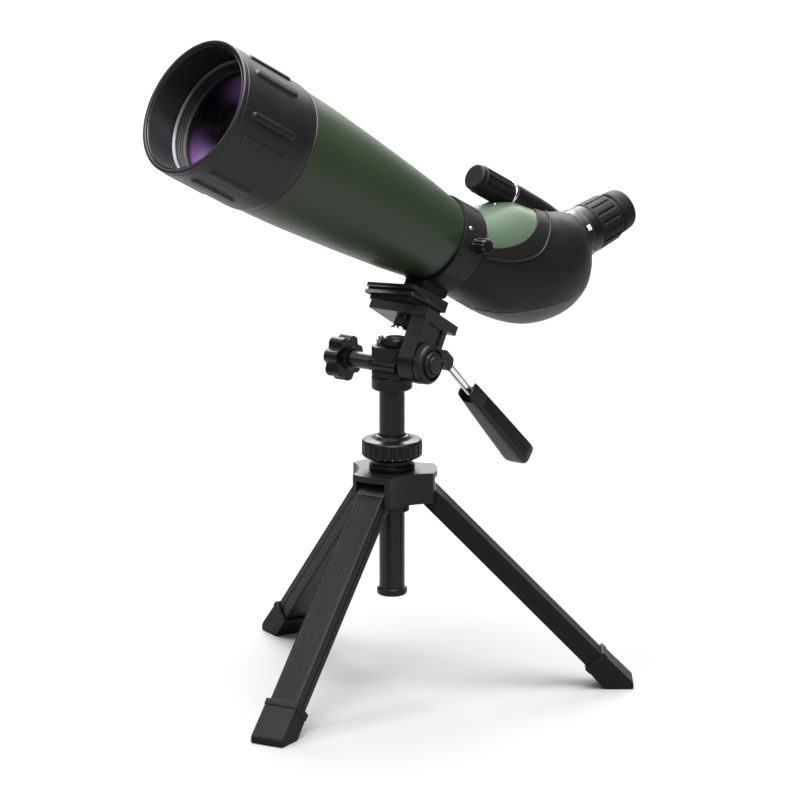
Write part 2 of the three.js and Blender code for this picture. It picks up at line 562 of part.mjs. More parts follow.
function buildEyepiece() {
  add(scope, 'eyepiece_tube', onEyeAxis([[11, 60], [14.2, 60], [14.2, 73.3], [18.8, 73.3],
    [18.8, 80], [14, 80], [14, 112.8], [11, 112.8], [11, 60]]), LOOKS.greyMetal);
  add(scope, 'zoom_index_ring', onEyeAxis([[14.3, 80.3], [18.1, 80.3], [18.1, 88.4], [14.3, 88.4],
    [14.3, 80.3]], 20), LOOKS.satinPlastic);
  let zoomRing = turned([[14.3, 88.8], [18, 88.8], [17.2, 110], [16.4, 111.2], [14.3, 111.2],
    [14.3, 88.8]], 20);
  zoomRing = grooved(zoomRing, 12, 18, 1.6, 1.2, 91, 109);
  const tip = new THREE.Matrix4().makeRotationX(-Math.PI / 4);
  add(scope, 'zoom_ring', shifted(moved(zoomRing, tip), 0, EYEPIECE_STATION, 0), LOOKS.rubber);
  add(scope, 'zoom_carriage', onEyeAxis([[8.4, 76], [10.7, 76], [10.7, 86], [8.4, 86], [8.4, 76]],
    20), LOOKS.brass);
  add(scope, 'zoom_lens', onEyeAxis([[0, 79], [8.1, 80], [8.1, 83], [0, 84]], 20), LOOKS.clearGlass);
  add(scope, 'eye_lens', onEyeAxis([[0, 103.4], [10.7, 104.4], [10.7, 108], [0, 110.2]], 20),
    LOOKS.glass);
  add(scope, 'eyecup', onEyeAxis([[10.4, 113.1], [14.2, 113.1], [15.8, 115], [16, 117], [15, 125.6],
    [14, 127], [13, 127], [12.6, 125], [12.6, 117], [10.4, 115.4], [10.4, 113.1]], 20), LOOKS.rubber);
}

// ---------------------------------------------------------------- assembly

const base = frameIn(object, [0, 0, 0]);
const pan = frameIn(object, [0, 0, TILT_AXIS_HEIGHT], [['Z', HEAD_YAW]]);
const tilt = frameIn(pan, [0, 0, 0], [['X', -HEAD_TILT]]);
const handle = frameIn(tilt, [0, 0, 0], [['X', -HANDLE_DROP]]);
const turntable = frameIn(tilt, [0, 0, SCOPE_AXIS], [['Z', SCOPE_TWIST]]);
const scope = frameIn(turntable, [0, -SCREW_STATION, 0]);

buildHub();
for (let i = 0; i < 3; i += 1) buildLeg(i);
buildColumn();
buildPanHead();
buildTiltHead();
buildHandle();
buildMount();
buildTube();
buildHousing();
buildPrisms();
buildFocuser();
buildEyepiece();

// The origin is the middle of the footprint, on the ground.
object.updateMatrixWorld(true);
const extent = new THREE.Box3().setFromObject(object, true);
const centre = extent.getCenter(new THREE.Vector3());
object.position.set(-centre.x, -centre.y, -extent.min.z);

export default object;
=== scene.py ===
# Looks for an angled spotting scope on its folding table tripod.
# Shapes are made in millimetres in the frame of the part they belong to, then moved to the row's frame.

import json
import math

import bmesh
import bpy
from mathutils import Matrix, Vector, bvhtree


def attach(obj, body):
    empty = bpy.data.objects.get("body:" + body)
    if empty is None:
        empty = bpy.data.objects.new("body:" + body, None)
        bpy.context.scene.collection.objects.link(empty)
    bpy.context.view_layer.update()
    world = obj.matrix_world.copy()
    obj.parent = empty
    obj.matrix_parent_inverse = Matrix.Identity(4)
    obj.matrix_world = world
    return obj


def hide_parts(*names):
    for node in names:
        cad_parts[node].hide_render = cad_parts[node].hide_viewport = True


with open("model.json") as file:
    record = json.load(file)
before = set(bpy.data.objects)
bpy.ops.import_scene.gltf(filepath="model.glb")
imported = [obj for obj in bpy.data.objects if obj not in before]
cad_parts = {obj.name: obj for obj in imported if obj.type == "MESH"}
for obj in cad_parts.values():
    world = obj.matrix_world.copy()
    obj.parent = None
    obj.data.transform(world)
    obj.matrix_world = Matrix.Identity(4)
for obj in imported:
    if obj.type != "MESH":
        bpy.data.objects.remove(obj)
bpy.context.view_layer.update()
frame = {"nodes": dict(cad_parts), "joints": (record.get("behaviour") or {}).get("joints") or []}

MM = 0.001
joints = {j["name"]: j for j in frame["joints"]}

# ---------------------------------------------------------------- places


def basis(origin, x, y, z):
    """A matrix from millimetres in a part's own frame to metres in the row's frame."""
    m = Matrix.Identity(4)
    for column, axis in enumerate((x, y, z)):
        for row in range(3):
            m[row][column] = axis[row] * MM
    for row in range(3):
        m[row][3] = origin[row]
    return m


def axis_of(name):
    return Vector(joints[name]["axis"]).normalized()


def place_of(name):
    return Vector(joints[name]["pos_m"])


UP = Vector((0, 0, 1))
column_foot = place_of("head_pan")
column_foot.z = 0
COLUMN = basis(column_foot, Vector((1, 0, 0)), Vector((0, 1, 0)), UP)

head_x = axis_of("head_tilt")
PAN = basis(place_of("head_pan"), head_x, UP.cross(head_x), UP)
tilt_z = axis_of("camera_screw_turn")
TILT = basis(place_of("head_tilt"), head_x, tilt_z.cross(head_x), tilt_z)
handle_y = axis_of("handle_twist")
HANDLE = basis(place_of("head_tilt"), head_x, handle_y, head_x.cross(handle_y))

scope_x, scope_y = axis_of("collar_lock_turn"), axis_of("scope_roll")
scope_z = scope_x.cross(scope_y)
rim = place_of("scope_roll") - scope_y * 248.4 * MM
SCOPE = basis(rim, scope_x, scope_y, scope_z)
eye_z = axis_of("zoom_turn")
EYE = basis(rim + scope_y * 311.5 * MM, scope_x, eye_z.cross(scope_x), eye_z)
FOCUS_AXIS = 55.3
SPINDLE_AXIS = -5.2

ALONG_Y = Matrix.Rotation(-math.pi / 2, 4, "X")
ALONG_X = Matrix.Rotation(math.pi / 2, 4, "Y")
LEG_SLOPE = math.radians(45.7)


def leg_frame(index):
    across = axis_of(f"leg_{index}_fold")
    outward = across.cross(UP)
    down = outward * math.cos(LEG_SLOPE) - UP * math.sin(LEG_SLOPE)
    return basis(place_of(f"leg_{index}_fold"), down, across, down.cross(across))


# ---------------------------------------------------------------- materials


def linear(hex_colour):
    values = [((hex_colour >> shift) & 255) / 255 for shift in (16, 8, 0)]
    return [v / 12.92 if v <= 0.04045 else ((v + 0.055) / 1.055) ** 2.4 for v in values] + [1]


def shade(colour, factor):
    return [min(1, c * factor) for c in colour[:3]] + [1]


def ramp(nodes, links, source, stops):
    node = nodes.new("ShaderNodeValToRGB")
    while len(node.color_ramp.elements) < len(stops):
        node.color_ramp.elements.new(0.5)
    for element, (position, colour) in zip(node.color_ramp.elements, stops):
        element.position = position
        element.color = colour
    links.new(source, node.inputs["Fac"])
    return node.outputs["Color"]


def noise(nodes, links, coordinates, scale, detail=3, stretch=None):
    if stretch:
        mapping = nodes.new("ShaderNodeMapping")
        mapping.inputs["Scale"].default_value = stretch
        links.new(coordinates, mapping.inputs["Vector"])
        coordinates = mapping.outputs["Vector"]
    node = nodes.new("ShaderNodeTexNoise")
    node.inputs["Scale"].default_value = scale
    node.inputs["Detail"].default_value = detail
    links.new(coordinates, node.inputs["Vector"])
    return node.outputs["Fac"]


def material(name, colour, rough, metal=0.0, spread=0.12, patches=40, grain=2500, depth=0.02,
             rough_spread=0.08, coat=0.0, coat_rough=0.1, wear_and_glint=0.0, wear_and_glint_colour=None, brushed=None,
             specular=0.5, sheen=0.0):
    """A painted, moulded or turned surface: patchy colour, patchy roughness, fine grain, convex edges lightened partly
    as wear and partly as a painted highlight.
    """
    made = bpy.data.materials.new(name)
    made.use_nodes = True
    nodes, links = made.node_tree.nodes, made.node_tree.links
    shader = nodes["Principled BSDF"]
    where = nodes.new("ShaderNodeTexCoord")
    coordinates = where.outputs["Object"]
    fine = where.outputs["UV"] if brushed else coordinates

    patch = noise(nodes, links, coordinates, patches, 4)
    base = ramp(nodes, links, patch, [(0.3, shade(colour, 1 - spread)), (0.7, shade(colour, 1 + spread))])
    speck = noise(nodes, links, fine, 1.0 if brushed else grain, 2, brushed)
    # Convex edges are painted lighter: partly wear, partly a painted highlight that stands in for bright glints along
    # rims and edges.
    if wear_and_glint:
        geometry = nodes.new("ShaderNodeNewGeometry")
        edge = ramp(nodes, links, geometry.outputs["Pointiness"], [(0.53, (0, 0, 0, 1)), (0.62, (1, 1, 1, 1))])
        wear_and_glint_mask = nodes.new("ShaderNodeMath")
        wear_and_glint_mask.operation = "MULTIPLY"
        links.new(edge, wear_and_glint_mask.inputs[0])
        links.new(noise(nodes, links, coordinates, 350, 4), wear_and_glint_mask.inputs[1])
        strength = nodes.new("ShaderNodeMath")
        strength.operation = "MULTIPLY"
        strength.inputs[1].default_value = wear_and_glint
        links.new(wear_and_glint_mask.outputs["Value"], strength.inputs[0])
        mix = nodes.new("ShaderNodeMixRGB")
        mix.inputs["Color2"].default_value = wear_and_glint_colour or shade(colour, 2.6)
        links.new(strength.outputs["Value"], mix.inputs["Fac"])
        links.new(base, mix.inputs["Color1"])
        base = mix.outputs["Color"]
    if brushed:
        streak = nodes.new("ShaderNodeMixRGB")
        streak.blend_type = "MULTIPLY"
        streak.inputs["Fac"].default_value = 0.55
        tone = ramp(nodes, links, speck, [(0.35, (0.62, 0.62, 0.62, 1)), (0.65, (1.25, 1.25, 1.25, 1))])
        links.new(base, streak.inputs["Color1"])
        links.new(tone, streak.inputs["Color2"])
        base = streak.outputs["Color"]
    links.new(base, shader.inputs["Base Color"])

    span = nodes.new("ShaderNodeMapRange")
    span.inputs["To Min"].default_value = max(0.02, rough - rough_spread)
    span.inputs["To Max"].default_value = min(1, rough + rough_spread)
    links.new(noise(nodes, links, coordinates, patches * 3.7, 5), span.inputs["Value"])
    links.new(span.outputs["Result"], shader.inputs["Roughness"])

    bump = nodes.new("ShaderNodeBump")
    bump.inputs["Strength"].default_value = 0.6
    bump.inputs["Distance"].default_value = depth * MM
    links.new(speck, bump.inputs["Height"])
    links.new(bump.outputs["Normal"], shader.inputs["Normal"])

    shader.inputs["Metallic"].default_value = metal
    shader.inputs["Specular IOR Level"].default_value = specular
    shader.inputs["Coat Weight"].default_value = coat
    shader.inputs["Coat Roughness"].default_value = coat_rough
    if sheen:
        shader.inputs["Sheen Weight"].default_value = sheen
        shader.inputs["Sheen Roughness"].default_value = 0.4
    return made


def radial_glass(name, origin, direction, reach, stops, painted_reflection_axis, rough=0.03):
    """Glass with painted reflections: the colour runs outwards from the optical axis and is strongest along one
    diameter, painted in place of the coloured reflections a coated lens shows.
    """
    made = bpy.data.materials.new(name)
    made.use_nodes = True
    nodes, links = made.node_tree.nodes, made.node_tree.links
    shader = nodes["Principled BSDF"]
    where = nodes.new("ShaderNodeTexCoord")
    away = nodes.new("ShaderNodeVectorMath")
    away.operation = "SUBTRACT"
    away.inputs[1].default_value = origin
    links.new(where.outputs["Object"], away.inputs[0])
    cross = nodes.new("ShaderNodeVectorMath")
    cross.operation = "CROSS_PRODUCT"
    cross.inputs[1].default_value = direction
    links.new(away.outputs["Vector"], cross.inputs[0])
    length = nodes.new("ShaderNodeVectorMath")
    length.operation = "LENGTH"
    links.new(cross.outputs["Vector"], length.inputs[0])
    share = nodes.new("ShaderNodeMath")
    share.operation = "DIVIDE"
    share.inputs[1].default_value = reach * MM
    links.new(length.outputs["Value"], share.inputs[0])
    base = ramp(nodes, links, share.outputs["Value"], stops)
    unit = nodes.new("ShaderNodeVectorMath")
    unit.operation = "NORMALIZE"
    links.new(cross.outputs["Vector"], unit.inputs[0])
    along = nodes.new("ShaderNodeVectorMath")
    along.operation = "DOT_PRODUCT"
    along.inputs[1].default_value = painted_reflection_axis.cross(direction).normalized()
    links.new(unit.outputs["Vector"], along.inputs[0])
    # The painted reflection is strongest along one diameter and falls back to the centre colour away from it.
    painted_reflection_lobe = nodes.new("ShaderNodeMath")
    painted_reflection_lobe.operation = "POWER"
    painted_reflection_lobe.inputs[1].default_value = 4.0
    strength = nodes.new("ShaderNodeMath")
    strength.operation = "ABSOLUTE"
    links.new(along.outputs["Value"], strength.inputs[0])
    links.new(strength.outputs["Value"], painted_reflection_lobe.inputs[0])
    mix = nodes.new("ShaderNodeMixRGB")
    mix.inputs["Color1"].default_value = stops[0][1]
    links.new(base, mix.inputs["Color2"])
    links.new(painted_reflection_lobe.outputs["Value"], mix.inputs["Fac"])
    links.new(mix.outputs["Color"], shader.inputs["Base Color"])
    span = nodes.new("ShaderNodeMapRange")
    span.inputs["To Min"].default_value = rough * 0.6
    span.inputs["To Max"].default_value = rough * 1.8
    links.new(noise(nodes, links, where.outputs["Object"], 60), span.inputs["Value"])
    links.new(span.outputs["Result"], shader.inputs["Roughness"])
    shader.inputs["Coat Weight"].default_value = 0.25
    shader.inputs["Coat Roughness"].default_value = 0.02
    shader.inputs["Specular IOR Level"].default_value = 0.25
    shader.inputs["Metallic"].default_value = 0.3
    return made


GREEN = material("green_satin_paint", linear(0x242F20), 0.4, metal=0.15, spread=0.06, patches=18,
                 grain=5200, depth=0.008, rough_spread=0.05, coat=0.04, coat_rough=0.25, specular=0.32)
SADDLE_GREEN = material("green_saddle_paint", linear(0x3F4E3D), 0.42, metal=0.1, spread=0.06, patches=18, grain=5200,
                        depth=0.008, rough_spread=0.05, coat=0.1, coat_rough=0.3, specular=0.4)
RUBBER = material("matt_rubber", linear(0x100F10), 0.56, spread=0.16, patches=30, grain=3800, depth=0.045,
                  rough_spread=0.09, wear_and_glint=0.25, specular=0.15)
# Shield rubber: its edge lightening is set higher than on the other rubbers, as a painted highlight along the rim and
# rib edges as well as wear.
SHIELD_RUBBER = material("shield_rubber", linear(0x131112), 0.42, spread=0.16, patches=30, grain=3800, depth=0.035,
                         rough_spread=0.08, wear_and_glint=0.35, specular=0.32)
ARMOUR = material("armour_rubber", linear(0x141213), 0.46, spread=0.14, patches=26, grain=3400, depth=0.03,
                  rough_spread=0.08, wear_and_glint=0.2, specular=0.17)
SHELL = material("underside_shell", linear(0x2E2D29), 0.48, spread=0.1, patches=24, grain=2600, depth=0.03,
                 specular=0.35)
PLASTIC = material("satin_black_plastic", linear(0x100E0F), 0.34, spread=0.18, patches=45, grain=3000,
                   depth=0.025, rough_spread=0.08, wear_and_glint=0.3, specular=0.23)
MATT = material("matt_charcoal_plastic", linear(0x151314), 0.42, spread=0.14, patches=45, grain=2800,
                depth=0.035, rough_spread=0.08, wear_and_glint=0.3, specular=0.22)
ANODISED = material("black_anodised", linear(0x131112), 0.4, metal=0.2, spread=0.14, patches=60,
                    grain=1800, depth=0.012, rough_spread=0.07, specular=0.16)
PIPE = material("black_pipe", linear(0x121011), 0.34, metal=0.3, spread=0.12, patches=30, depth=0.004,
                brushed=(7, 160, 1), rough_spread=0.06, specular=0.4)
BLACK = material("flocked_black", linear(0x0D0C0D), 0.5, spread=0.2, patches=50, grain=2600, depth=0.03,
                 specular=0.3)
LINING = material("satin_lining", linear(0x302E30), 0.27, metal=0.5, spread=0.1, patches=50, grain=2600,
                  depth=0.02, rough_spread=0.07)
GUNMETAL = material("gunmetal", linear(0x2B2A2C), 0.3, metal=0.6, spread=0.1, patches=60, grain=4000,
                    depth=0.01, rough_spread=0.06)
GREY = material("satin_grey_metal", linear(0x4C4B4E), 0.42, metal=0.7, spread=0.08, patches=60, grain=4000,
                depth=0.01, rough_spread=0.06)
SILVER = material("satin_silver", linear(0xB9B9BB), 0.27, metal=0.95, spread=0.06, patches=60, grain=4000,
                  depth=0.01, rough_spread=0.06)
CHROME = material("chrome_plate", linear(0xE4E3E1), 0.1, metal=1.0, spread=0.03, patches=80, grain=900,
                  depth=0.004, rough_spread=0.04)
STEEL = material("turned_steel", linear(0x8D8D90), 0.32, metal=1.0, spread=0.08, patches=90, grain=1500, depth=0.01)
BRASS = material("turned_brass", linear(0xB4954E), 0.3, metal=1.0, spread=0.08, patches=90, grain=1500, depth=0.01)
INK = material("white_ink", linear(0xDCDCD8), 0.5, spread=0.06, patches=300, grain=3000, depth=0.01)
PRISM = material("prism_glass", linear(0xC8D6D8), 0.08, spread=0.03, patches=60, grain=400, depth=0.002,
                 rough_spread=0.03, coat=1.0)
# Objective: painted reflection, near black at the centre, bright purple towards the rim, strongest along one tilted
# diameter.
LENS = radial_glass("objective_painted_reflection", rim, scope_y, 41.5, [
    (0.0, linear(0x020102)), (0.34, linear(0x060409)), (0.5, linear(0x3C2A50)), (0.86, linear(0x8E64A4)),
    (1.0, linear(0x4E3058))], scope_z * 0.92 + scope_x * 0.38)
# Eye lens: painted reflection, dark at the centre, bluish purple towards the rim, strongest along one diameter.
EYE_LENS = radial_glass("eye_lens_painted_reflection", rim + scope_y * 311.5 * MM, eye_z, 11, [
    (0.0, linear(0x0B0A12)), (0.6, linear(0x1E2440)), (1.0, linear(0x31284A))], scope_x)

# ---------------------------------------------------------------- mesh helpers


def rounded(points, closed=False, steps=4):
    """An outline with its corners rounded: each point is (x, y) or (x, y, setback)."""
    out = []
    count = len(points)
    for i, point in enumerate(points):
        here = Vector(point[:2])
        setback = point[2] if len(point) > 2 else 0
        if setback <= 0 or (not closed and i in (0, count - 1)):
            out.append((here.x, here.y))
            continue
        before = Vector(points[(i - 1) % count][:2]) - here
        after = Vector(points[(i + 1) % count][:2]) - here
        reach = min(setback, 0.45 * before.length, 0.45 * after.length)
        start, end = here + before.normalized() * reach, here + after.normalized() * reach
        margin = 0.08 * min(before.length, after.length, 4)
        out.append(tuple(start + before.normalized() * margin))
        for k in range(steps + 1):
            u = k / steps
            out.append(tuple(start.lerp(here, u).lerp(here.lerp(end, u), u)))
        out.append(tuple(end + after.normalized() * margin))
    return out


def dense(points, step, closed=False):
    """The same outline with no side longer than a step."""
    out = []
    pairs = list(zip(points, points[1:]))
    if closed:
        pairs.append((points[-1], points[0]))
    for a, b in pairs:
        pieces = max(1, math.ceil(math.dist(a, b) / step))
        out += [(a[0] + (b[0] - a[0]) * k / pieces, a[1] + (b[1] - a[1]) * k / pieces)
                for k in range(pieces)]
    if not closed:
        out.append(points[-1])
    return out


def lathe(profile, count=96, closed=False, shape=None):
    """A turned part about +Z from (radius, height) points; shape(r, z, angle) carves its radius."""
    bm = bmesh.new()
    uv = bm.loops.layers.uv.new("UVMap")
    rings = []
    for r, z in profile:
        if r < 1e-4:
            rings.append([bm.verts.new((0, 0, z))])
            continue
        ring = []
        for i in range(count):
            angle = 2 * math.pi * i / count
            reach = shape(r, z, angle) if shape else r
            ring.append(bm.verts.new((reach * math.cos(angle), reach * math.sin(angle), z)))
        rings.append(ring)
    pairs = list(zip(rings, rings[1:]))
    if closed:
        pairs.append((rings[-1], rings[0]))
    for low, high in pairs:
        if len(low) == 1 and len(high) == 1:
            continue
        for i in range(count):
            j = (i + 1) % count
            if len(low) == 1:
                corners = (low[0], high[j], high[i])
            elif len(high) == 1:
                corners = (low[i], low[j], high[0])
            else:
                corners = (low[i], low[j], high[j], high[i])
            face = bm.faces.new(corners)
            for loop in face.loops:
                turn = i if loop.vert in (corners[0], corners[-1]) else i + 1
                loop[uv].uv = (loop.vert.co.z * MM, turn / count)
    return bm


def prism(points, low, high):
    """A flat outline in XY pushed from low to high."""
    bm = bmesh.new()
    bottom = [bm.verts.new((x, y, low)) for x, y in points]
    top = [bm.verts.new((x, y, high)) for x, y in points]
    bm.faces.new(bottom[::-1])
    bm.faces.new(top)
    for i in range(len(points)):
        j = (i + 1) % len(points)
        bm.faces.new((bottom[i], bottom[j], top[j], top[i]))
    return bm


def block(low, high):
    return prism([(low[0], low[1]), (high[0], low[1]), (high[0], high[1]), (low[0], high[1])], low[2], high[2])


def turned(bm, matrix):
    bmesh.ops.transform(bm, matrix=matrix, verts=bm.verts)
    return bm


def shifted(bm, x, y, z):
    return turned(bm, Matrix.Translation((x, y, z)))


def joined(*parts):
    """Several meshes in one, without a boolean."""
    whole = bmesh.new()
    for part in parts:
        scratch = bpy.data.meshes.new("scratch")
        part.to_mesh(scratch)
        part.free()
        whole.from_mesh(scratch)
        bpy.data.meshes.remove(scratch)
    return whole


def as_object(bm, name="scratch"):
    mesh = bpy.data.meshes.new(name)
    bmesh.ops.recalc_face_normals(bm, faces=bm.faces)
    bm.to_mesh(mesh)
    bm.free()
    made = bpy.data.objects.new(name, mesh)
    bpy.context.scene.collection.objects.link(made)
    return made


def place(made, where, body, look, nodes=()):
    made.data.transform(where)
    made.data.materials.clear()
    made.data.materials.append(look)
    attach(made, body)
    if nodes:
        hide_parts(*nodes)
    return made


def piece(name, bm, where, body, look, nodes=(), sharp=38):
    """A finished piece straight from its mesh."""
    made = as_object(bm, name)
    made.data.shade_smooth()
    made.data.set_sharp_from_angle(angle=math.radians(sharp))
    return place(made, where, body, look, nodes)


def carved(name, bm, where, body, look, cuts=(), adds=(), edge=0.5, steps=3, limit=32, nodes=(),
           weighted=True):
    """A finished piece joined and cut from solids, with every hard edge rounded over."""
    made = as_object(bm, name)
    tools = []
    for operation, parts in (("UNION", adds), ("DIFFERENCE", cuts)):
        for part in parts:
            tool = as_object(part, "tool")
            tools.append(tool)
            modifier = made.modifiers.new("cut", "BOOLEAN")
            modifier.operation = operation
            modifier.solver = "EXACT"
            modifier.object = tool
    if edge:
        modifier = made.modifiers.new("edge", "BEVEL")
        modifier.width = edge
        modifier.segments = steps
        modifier.limit_method = "ANGLE"
        modifier.angle_limit = math.radians(limit)
        modifier.use_clamp_overlap = True
        modifier.miter_outer = "MITER_ARC"
        modifier.harden_normals = not weighted
    made.data.shade_smooth()
    if weighted:
        modifier = made.modifiers.new("normals", "WEIGHTED_NORMAL")
        modifier.keep_sharp = False
        modifier.weight = 80
    bpy.context.view_layer.update()
    final = bpy.data.meshes.new_from_object(made.evaluated_get(bpy.context.evaluated_depsgraph_get()))
    made.modifiers.clear()
    made.data = final
    for tool in tools:
        bpy.data.objects.remove(tool)
    return place(made, where, body, look, nodes)


def bead(name, points, radius, where, body, look):
    """A thin raised or inlaid line through points, as a round mesh tube."""
    bm = bmesh.new()
    rings = []
    sides = 8
    for i, point in enumerate(points):
        ahead = points[min(i + 1, len(points) - 1)] - points[max(i - 1, 0)]
        ahead.normalize()
        side = ahead.cross(Vector((0.3, 0.5, 0.8))).normalized()
        other = ahead.cross(side)
        fade = min(1, 0.25 + 0.25 * min(i, len(points) - 1 - i))
        rings.append([bm.verts.new(point + (side * math.cos(a) + other * math.sin(a)) * radius * fade)
                      for a in (2 * math.pi * k / sides for k in range(sides))])
    for low, high in zip(rings, rings[1:]):
        for i in range(sides):
            j = (i + 1) % sides
            bm.faces.new((low[i], low[j], high[j], high[i]))
    bm.faces.new(rings[0][::-1])
    bm.faces.new(rings[-1])
    return piece(name, bm, where, body, look, sharp=70)


def smooth(edge0, edge1, value):
    t = min(1, max(0, (value - edge0) / (edge1 - edge0)))
    return t * t * (3 - 2 * t)


def flutes(count, depth, width, low, high, run=1.2, phase=0.0):
    """Grooves round a turned part: how much its radius shrinks at an angle and a height."""
    def shape(r, z, angle):
        turn = ((angle + phase) * count / (2 * math.pi)) % 1
        off = abs(turn - 0.5) * 2 * math.pi * r / count
        inside = 1 - smooth(width / 2 - 0.35, width / 2 + 0.25, off)
        ends = smooth(low - run, low, z) * (1 - smooth(high, high + run, z))
        return r - depth * inside * ends
    return shape


# ---------------------------------------------------------------- tripod base


def hub_plan():
    """Three rounded lobes with hollow sides between them."""
    def at(angle, radius):
        return Vector((radius * math.cos(angle), radius * math.sin(angle)))

    def bend(a, b, c, pieces):
        return [tuple(a.lerp(b, k / pieces).lerp(b.lerp(c, k / pieces), k / pieces)) for k in range(pieces)]

    corner, reach = math.atan2(15, 29), math.hypot(15, 29)
    points = []
    for i in range(3):
        middle = 2 * math.pi * i / 3
        start, end = at(middle - corner, reach), at(middle + corner, reach)
        following = at(middle + 2 * math.pi / 3 - corner, reach)
        points += bend(start, at(middle, 35), end, 10)
        points += bend(end, at(middle + math.pi / 3, 19), following, 18)
    return points


def spun(bm, degrees):
    return turned(bm, Matrix.Rotation(math.radians(degrees), 4, "Z"))


leg_one = axis_of("leg_1_fold").cross(UP)
HUB = basis(column_foot, leg_one, UP.cross(leg_one), UP)
hub_cuts = [lathe([(0, 100), (11.2, 100), (11.2, 190), (0, 190)], 48)]
for turn in (0, 120, 240):
    hub_cuts.append(spun(block((12.2, -11.5, 120), (45, 11.5, 154.2)), turn))
boss = lathe(rounded([(0, 128.4), (12.6, 128.4, 0.8), (12.6, 138), (0, 138)]), 48)
carved("tripod_hub_moulding", prism(hub_plan(), 136.4, 158.4), HUB, "tripod_base", PLASTIC, cuts=hub_cuts,
       adds=[boss], edge=1.1, limit=50, nodes=["tripod_hub"], weighted=False)
piece("clamp_neck_ring", lathe(rounded([(11.4, 158.7), (16.2, 158.7, 0.5), (16.2, 162, 1.0), (14.6, 163.2, 0.6),
      (14.6, 165.9, 0.5), (11.4, 165.9)], True), 96, True), COLUMN, "tripod_base", PLASTIC,
      nodes=["clamp_neck"])
for index in (1, 2, 3):
    pin = lathe(rounded([(0, -14.3), (2, -14.3, 0.5), (2, 14.3, 0.5), (0, 14.3)]), 24)
    piece(f"leg_pin_{index}_rivet", turned(pin, ALONG_Y), leg_frame(index), "tripod_base", GUNMETAL,
          nodes=[f"leg_pin_{index}"])

# ---------------------------------------------------------------- legs


def leg_section():
    """The channel's outline: width on the first axis, depth on the second, with a ribbed outer face."""
    points = [(-11, -7, 1.2), (11, -7, 1.2), (11, -1.2, 0.2), (10.55, -0.8, 0.2), (10.55, 1.4, 0.2),
              (11, 1.8, 0.2), (11, 7, 1.0)]
    for middle in (7.1, 4.3, 1.45, -1.45, -4.3, -7.1):
        points += [(middle + 0.75, 7, 0.15), (middle + 0.55, 6.55, 0.15), (middle - 0.55, 6.55, 0.15),
                   (middle - 0.75, 7, 0.15)]
    points += [(-11, 7, 1.0), (-11, 1.8, 0.2), (-10.55, 1.4, 0.2), (-10.55, -0.8, 0.2), (-11, -1.2, 0.2)]
    return rounded(points, True, 2)


def leg_channel():
    outline = leg_section()
    bm = bmesh.new()
    uv = bm.loops.layers.uv.new("UVMap")
    stations = [9, 9.4] + [9.4 + 178 * k / 12 for k in range(1, 13)] + [188]
    rings = []
    for i, x in enumerate(stations):
        pull = 0.97 if i in (0, len(stations) - 1) else 1
        rings.append([bm.verts.new((x, y * pull, z * pull)) for y, z in outline])
    run = [0.0]
    for a, b in zip(outline, outline[1:] + outline[:1]):
        run.append(run[-1] + math.dist(a, b))
    for low, high in zip(rings, rings[1:]):
        for i in range(len(outline)):
            j = (i + 1) % len(outline)
            face = bm.faces.new((low[i], low[j], high[j], high[i]))
            for loop, across in zip(face.loops, (run[i], run[i + 1], run[i + 1], run[i])):
                loop[uv].uv = (loop.vert.co.x * MM, across * MM)
    bm.faces.new(rings[0][::-1])
    bm.faces.new(rings[-1])
    return bm


def leg_boot():
    """A rubber boot over the leg's end, cut level with the ground, with a lip round its mouth."""
    def ground_at(z):
        return (146.9 + z * math.cos(LEG_SLOPE)) / math.sin(LEG_SLOPE)

    side = rounded([(178.5, -8.4, 0.6), (ground_at(-9.2), -9.2, 1.2), (ground_at(5.4), 5.4, 1.6),
                    (ground_at(5.4) - 3.3, 8.8, 1.8), (178.5, 8.2, 0.6)], True, 4)
    body = turned(prism(side, -12.4, 12.4), Matrix.Rotation(math.pi / 2, 4, "X"))
    lip_side = rounded([(176, -9, 0.8), (181, -9, 0.8), (181, 8.9, 0.8), (176, 8.9, 0.8)], True, 3)
    lip = turned(prism(lip_side, -12.8, 12.8), Matrix.Rotation(math.pi / 2, 4, "X"))
    mouth = block((160, -11.2, -7.2), (188.2, 11.2, 7.2))
    return body, lip, mouth


for index in (1, 2, 3):
    leg = leg_frame(index)
    piece(f"leg_{index}_channel", leg_channel(), leg, f"leg_{index}", ANODISED,
          nodes=[f"leg_tube_{index}"], sharp=50)
    knuckle = turned(lathe(rounded([(0, -10.9), (6.6, -10.9, 0.5), (6.6, 10.9, 0.5), (0, 10.9)]), 48), ALONG_Y)
    carved(f"leg_{index}_knuckle", knuckle, leg, f"leg_{index}", PLASTIC,
           adds=[block((0, -10.9, -6.6), (9.0, 10.9, 6.6)), block((8, -9, -5), (20, 9, 5))],
           cuts=[turned(lathe([(0, -20), (2.3, -20), (2.3, 20), (0, 20)], 24), ALONG_Y)],
           edge=0.5, limit=40, nodes=[f"leg_hinge_block_{index}"])
    boot, lip, mouth = leg_boot()
    carved(f"leg_{index}_boot", boot, leg, f"leg_{index}", RUBBER, adds=[lip], cuts=[mouth],
           edge=0.9, limit=35, nodes=[f"foot_{index}"])

# ---------------------------------------------------------------- column

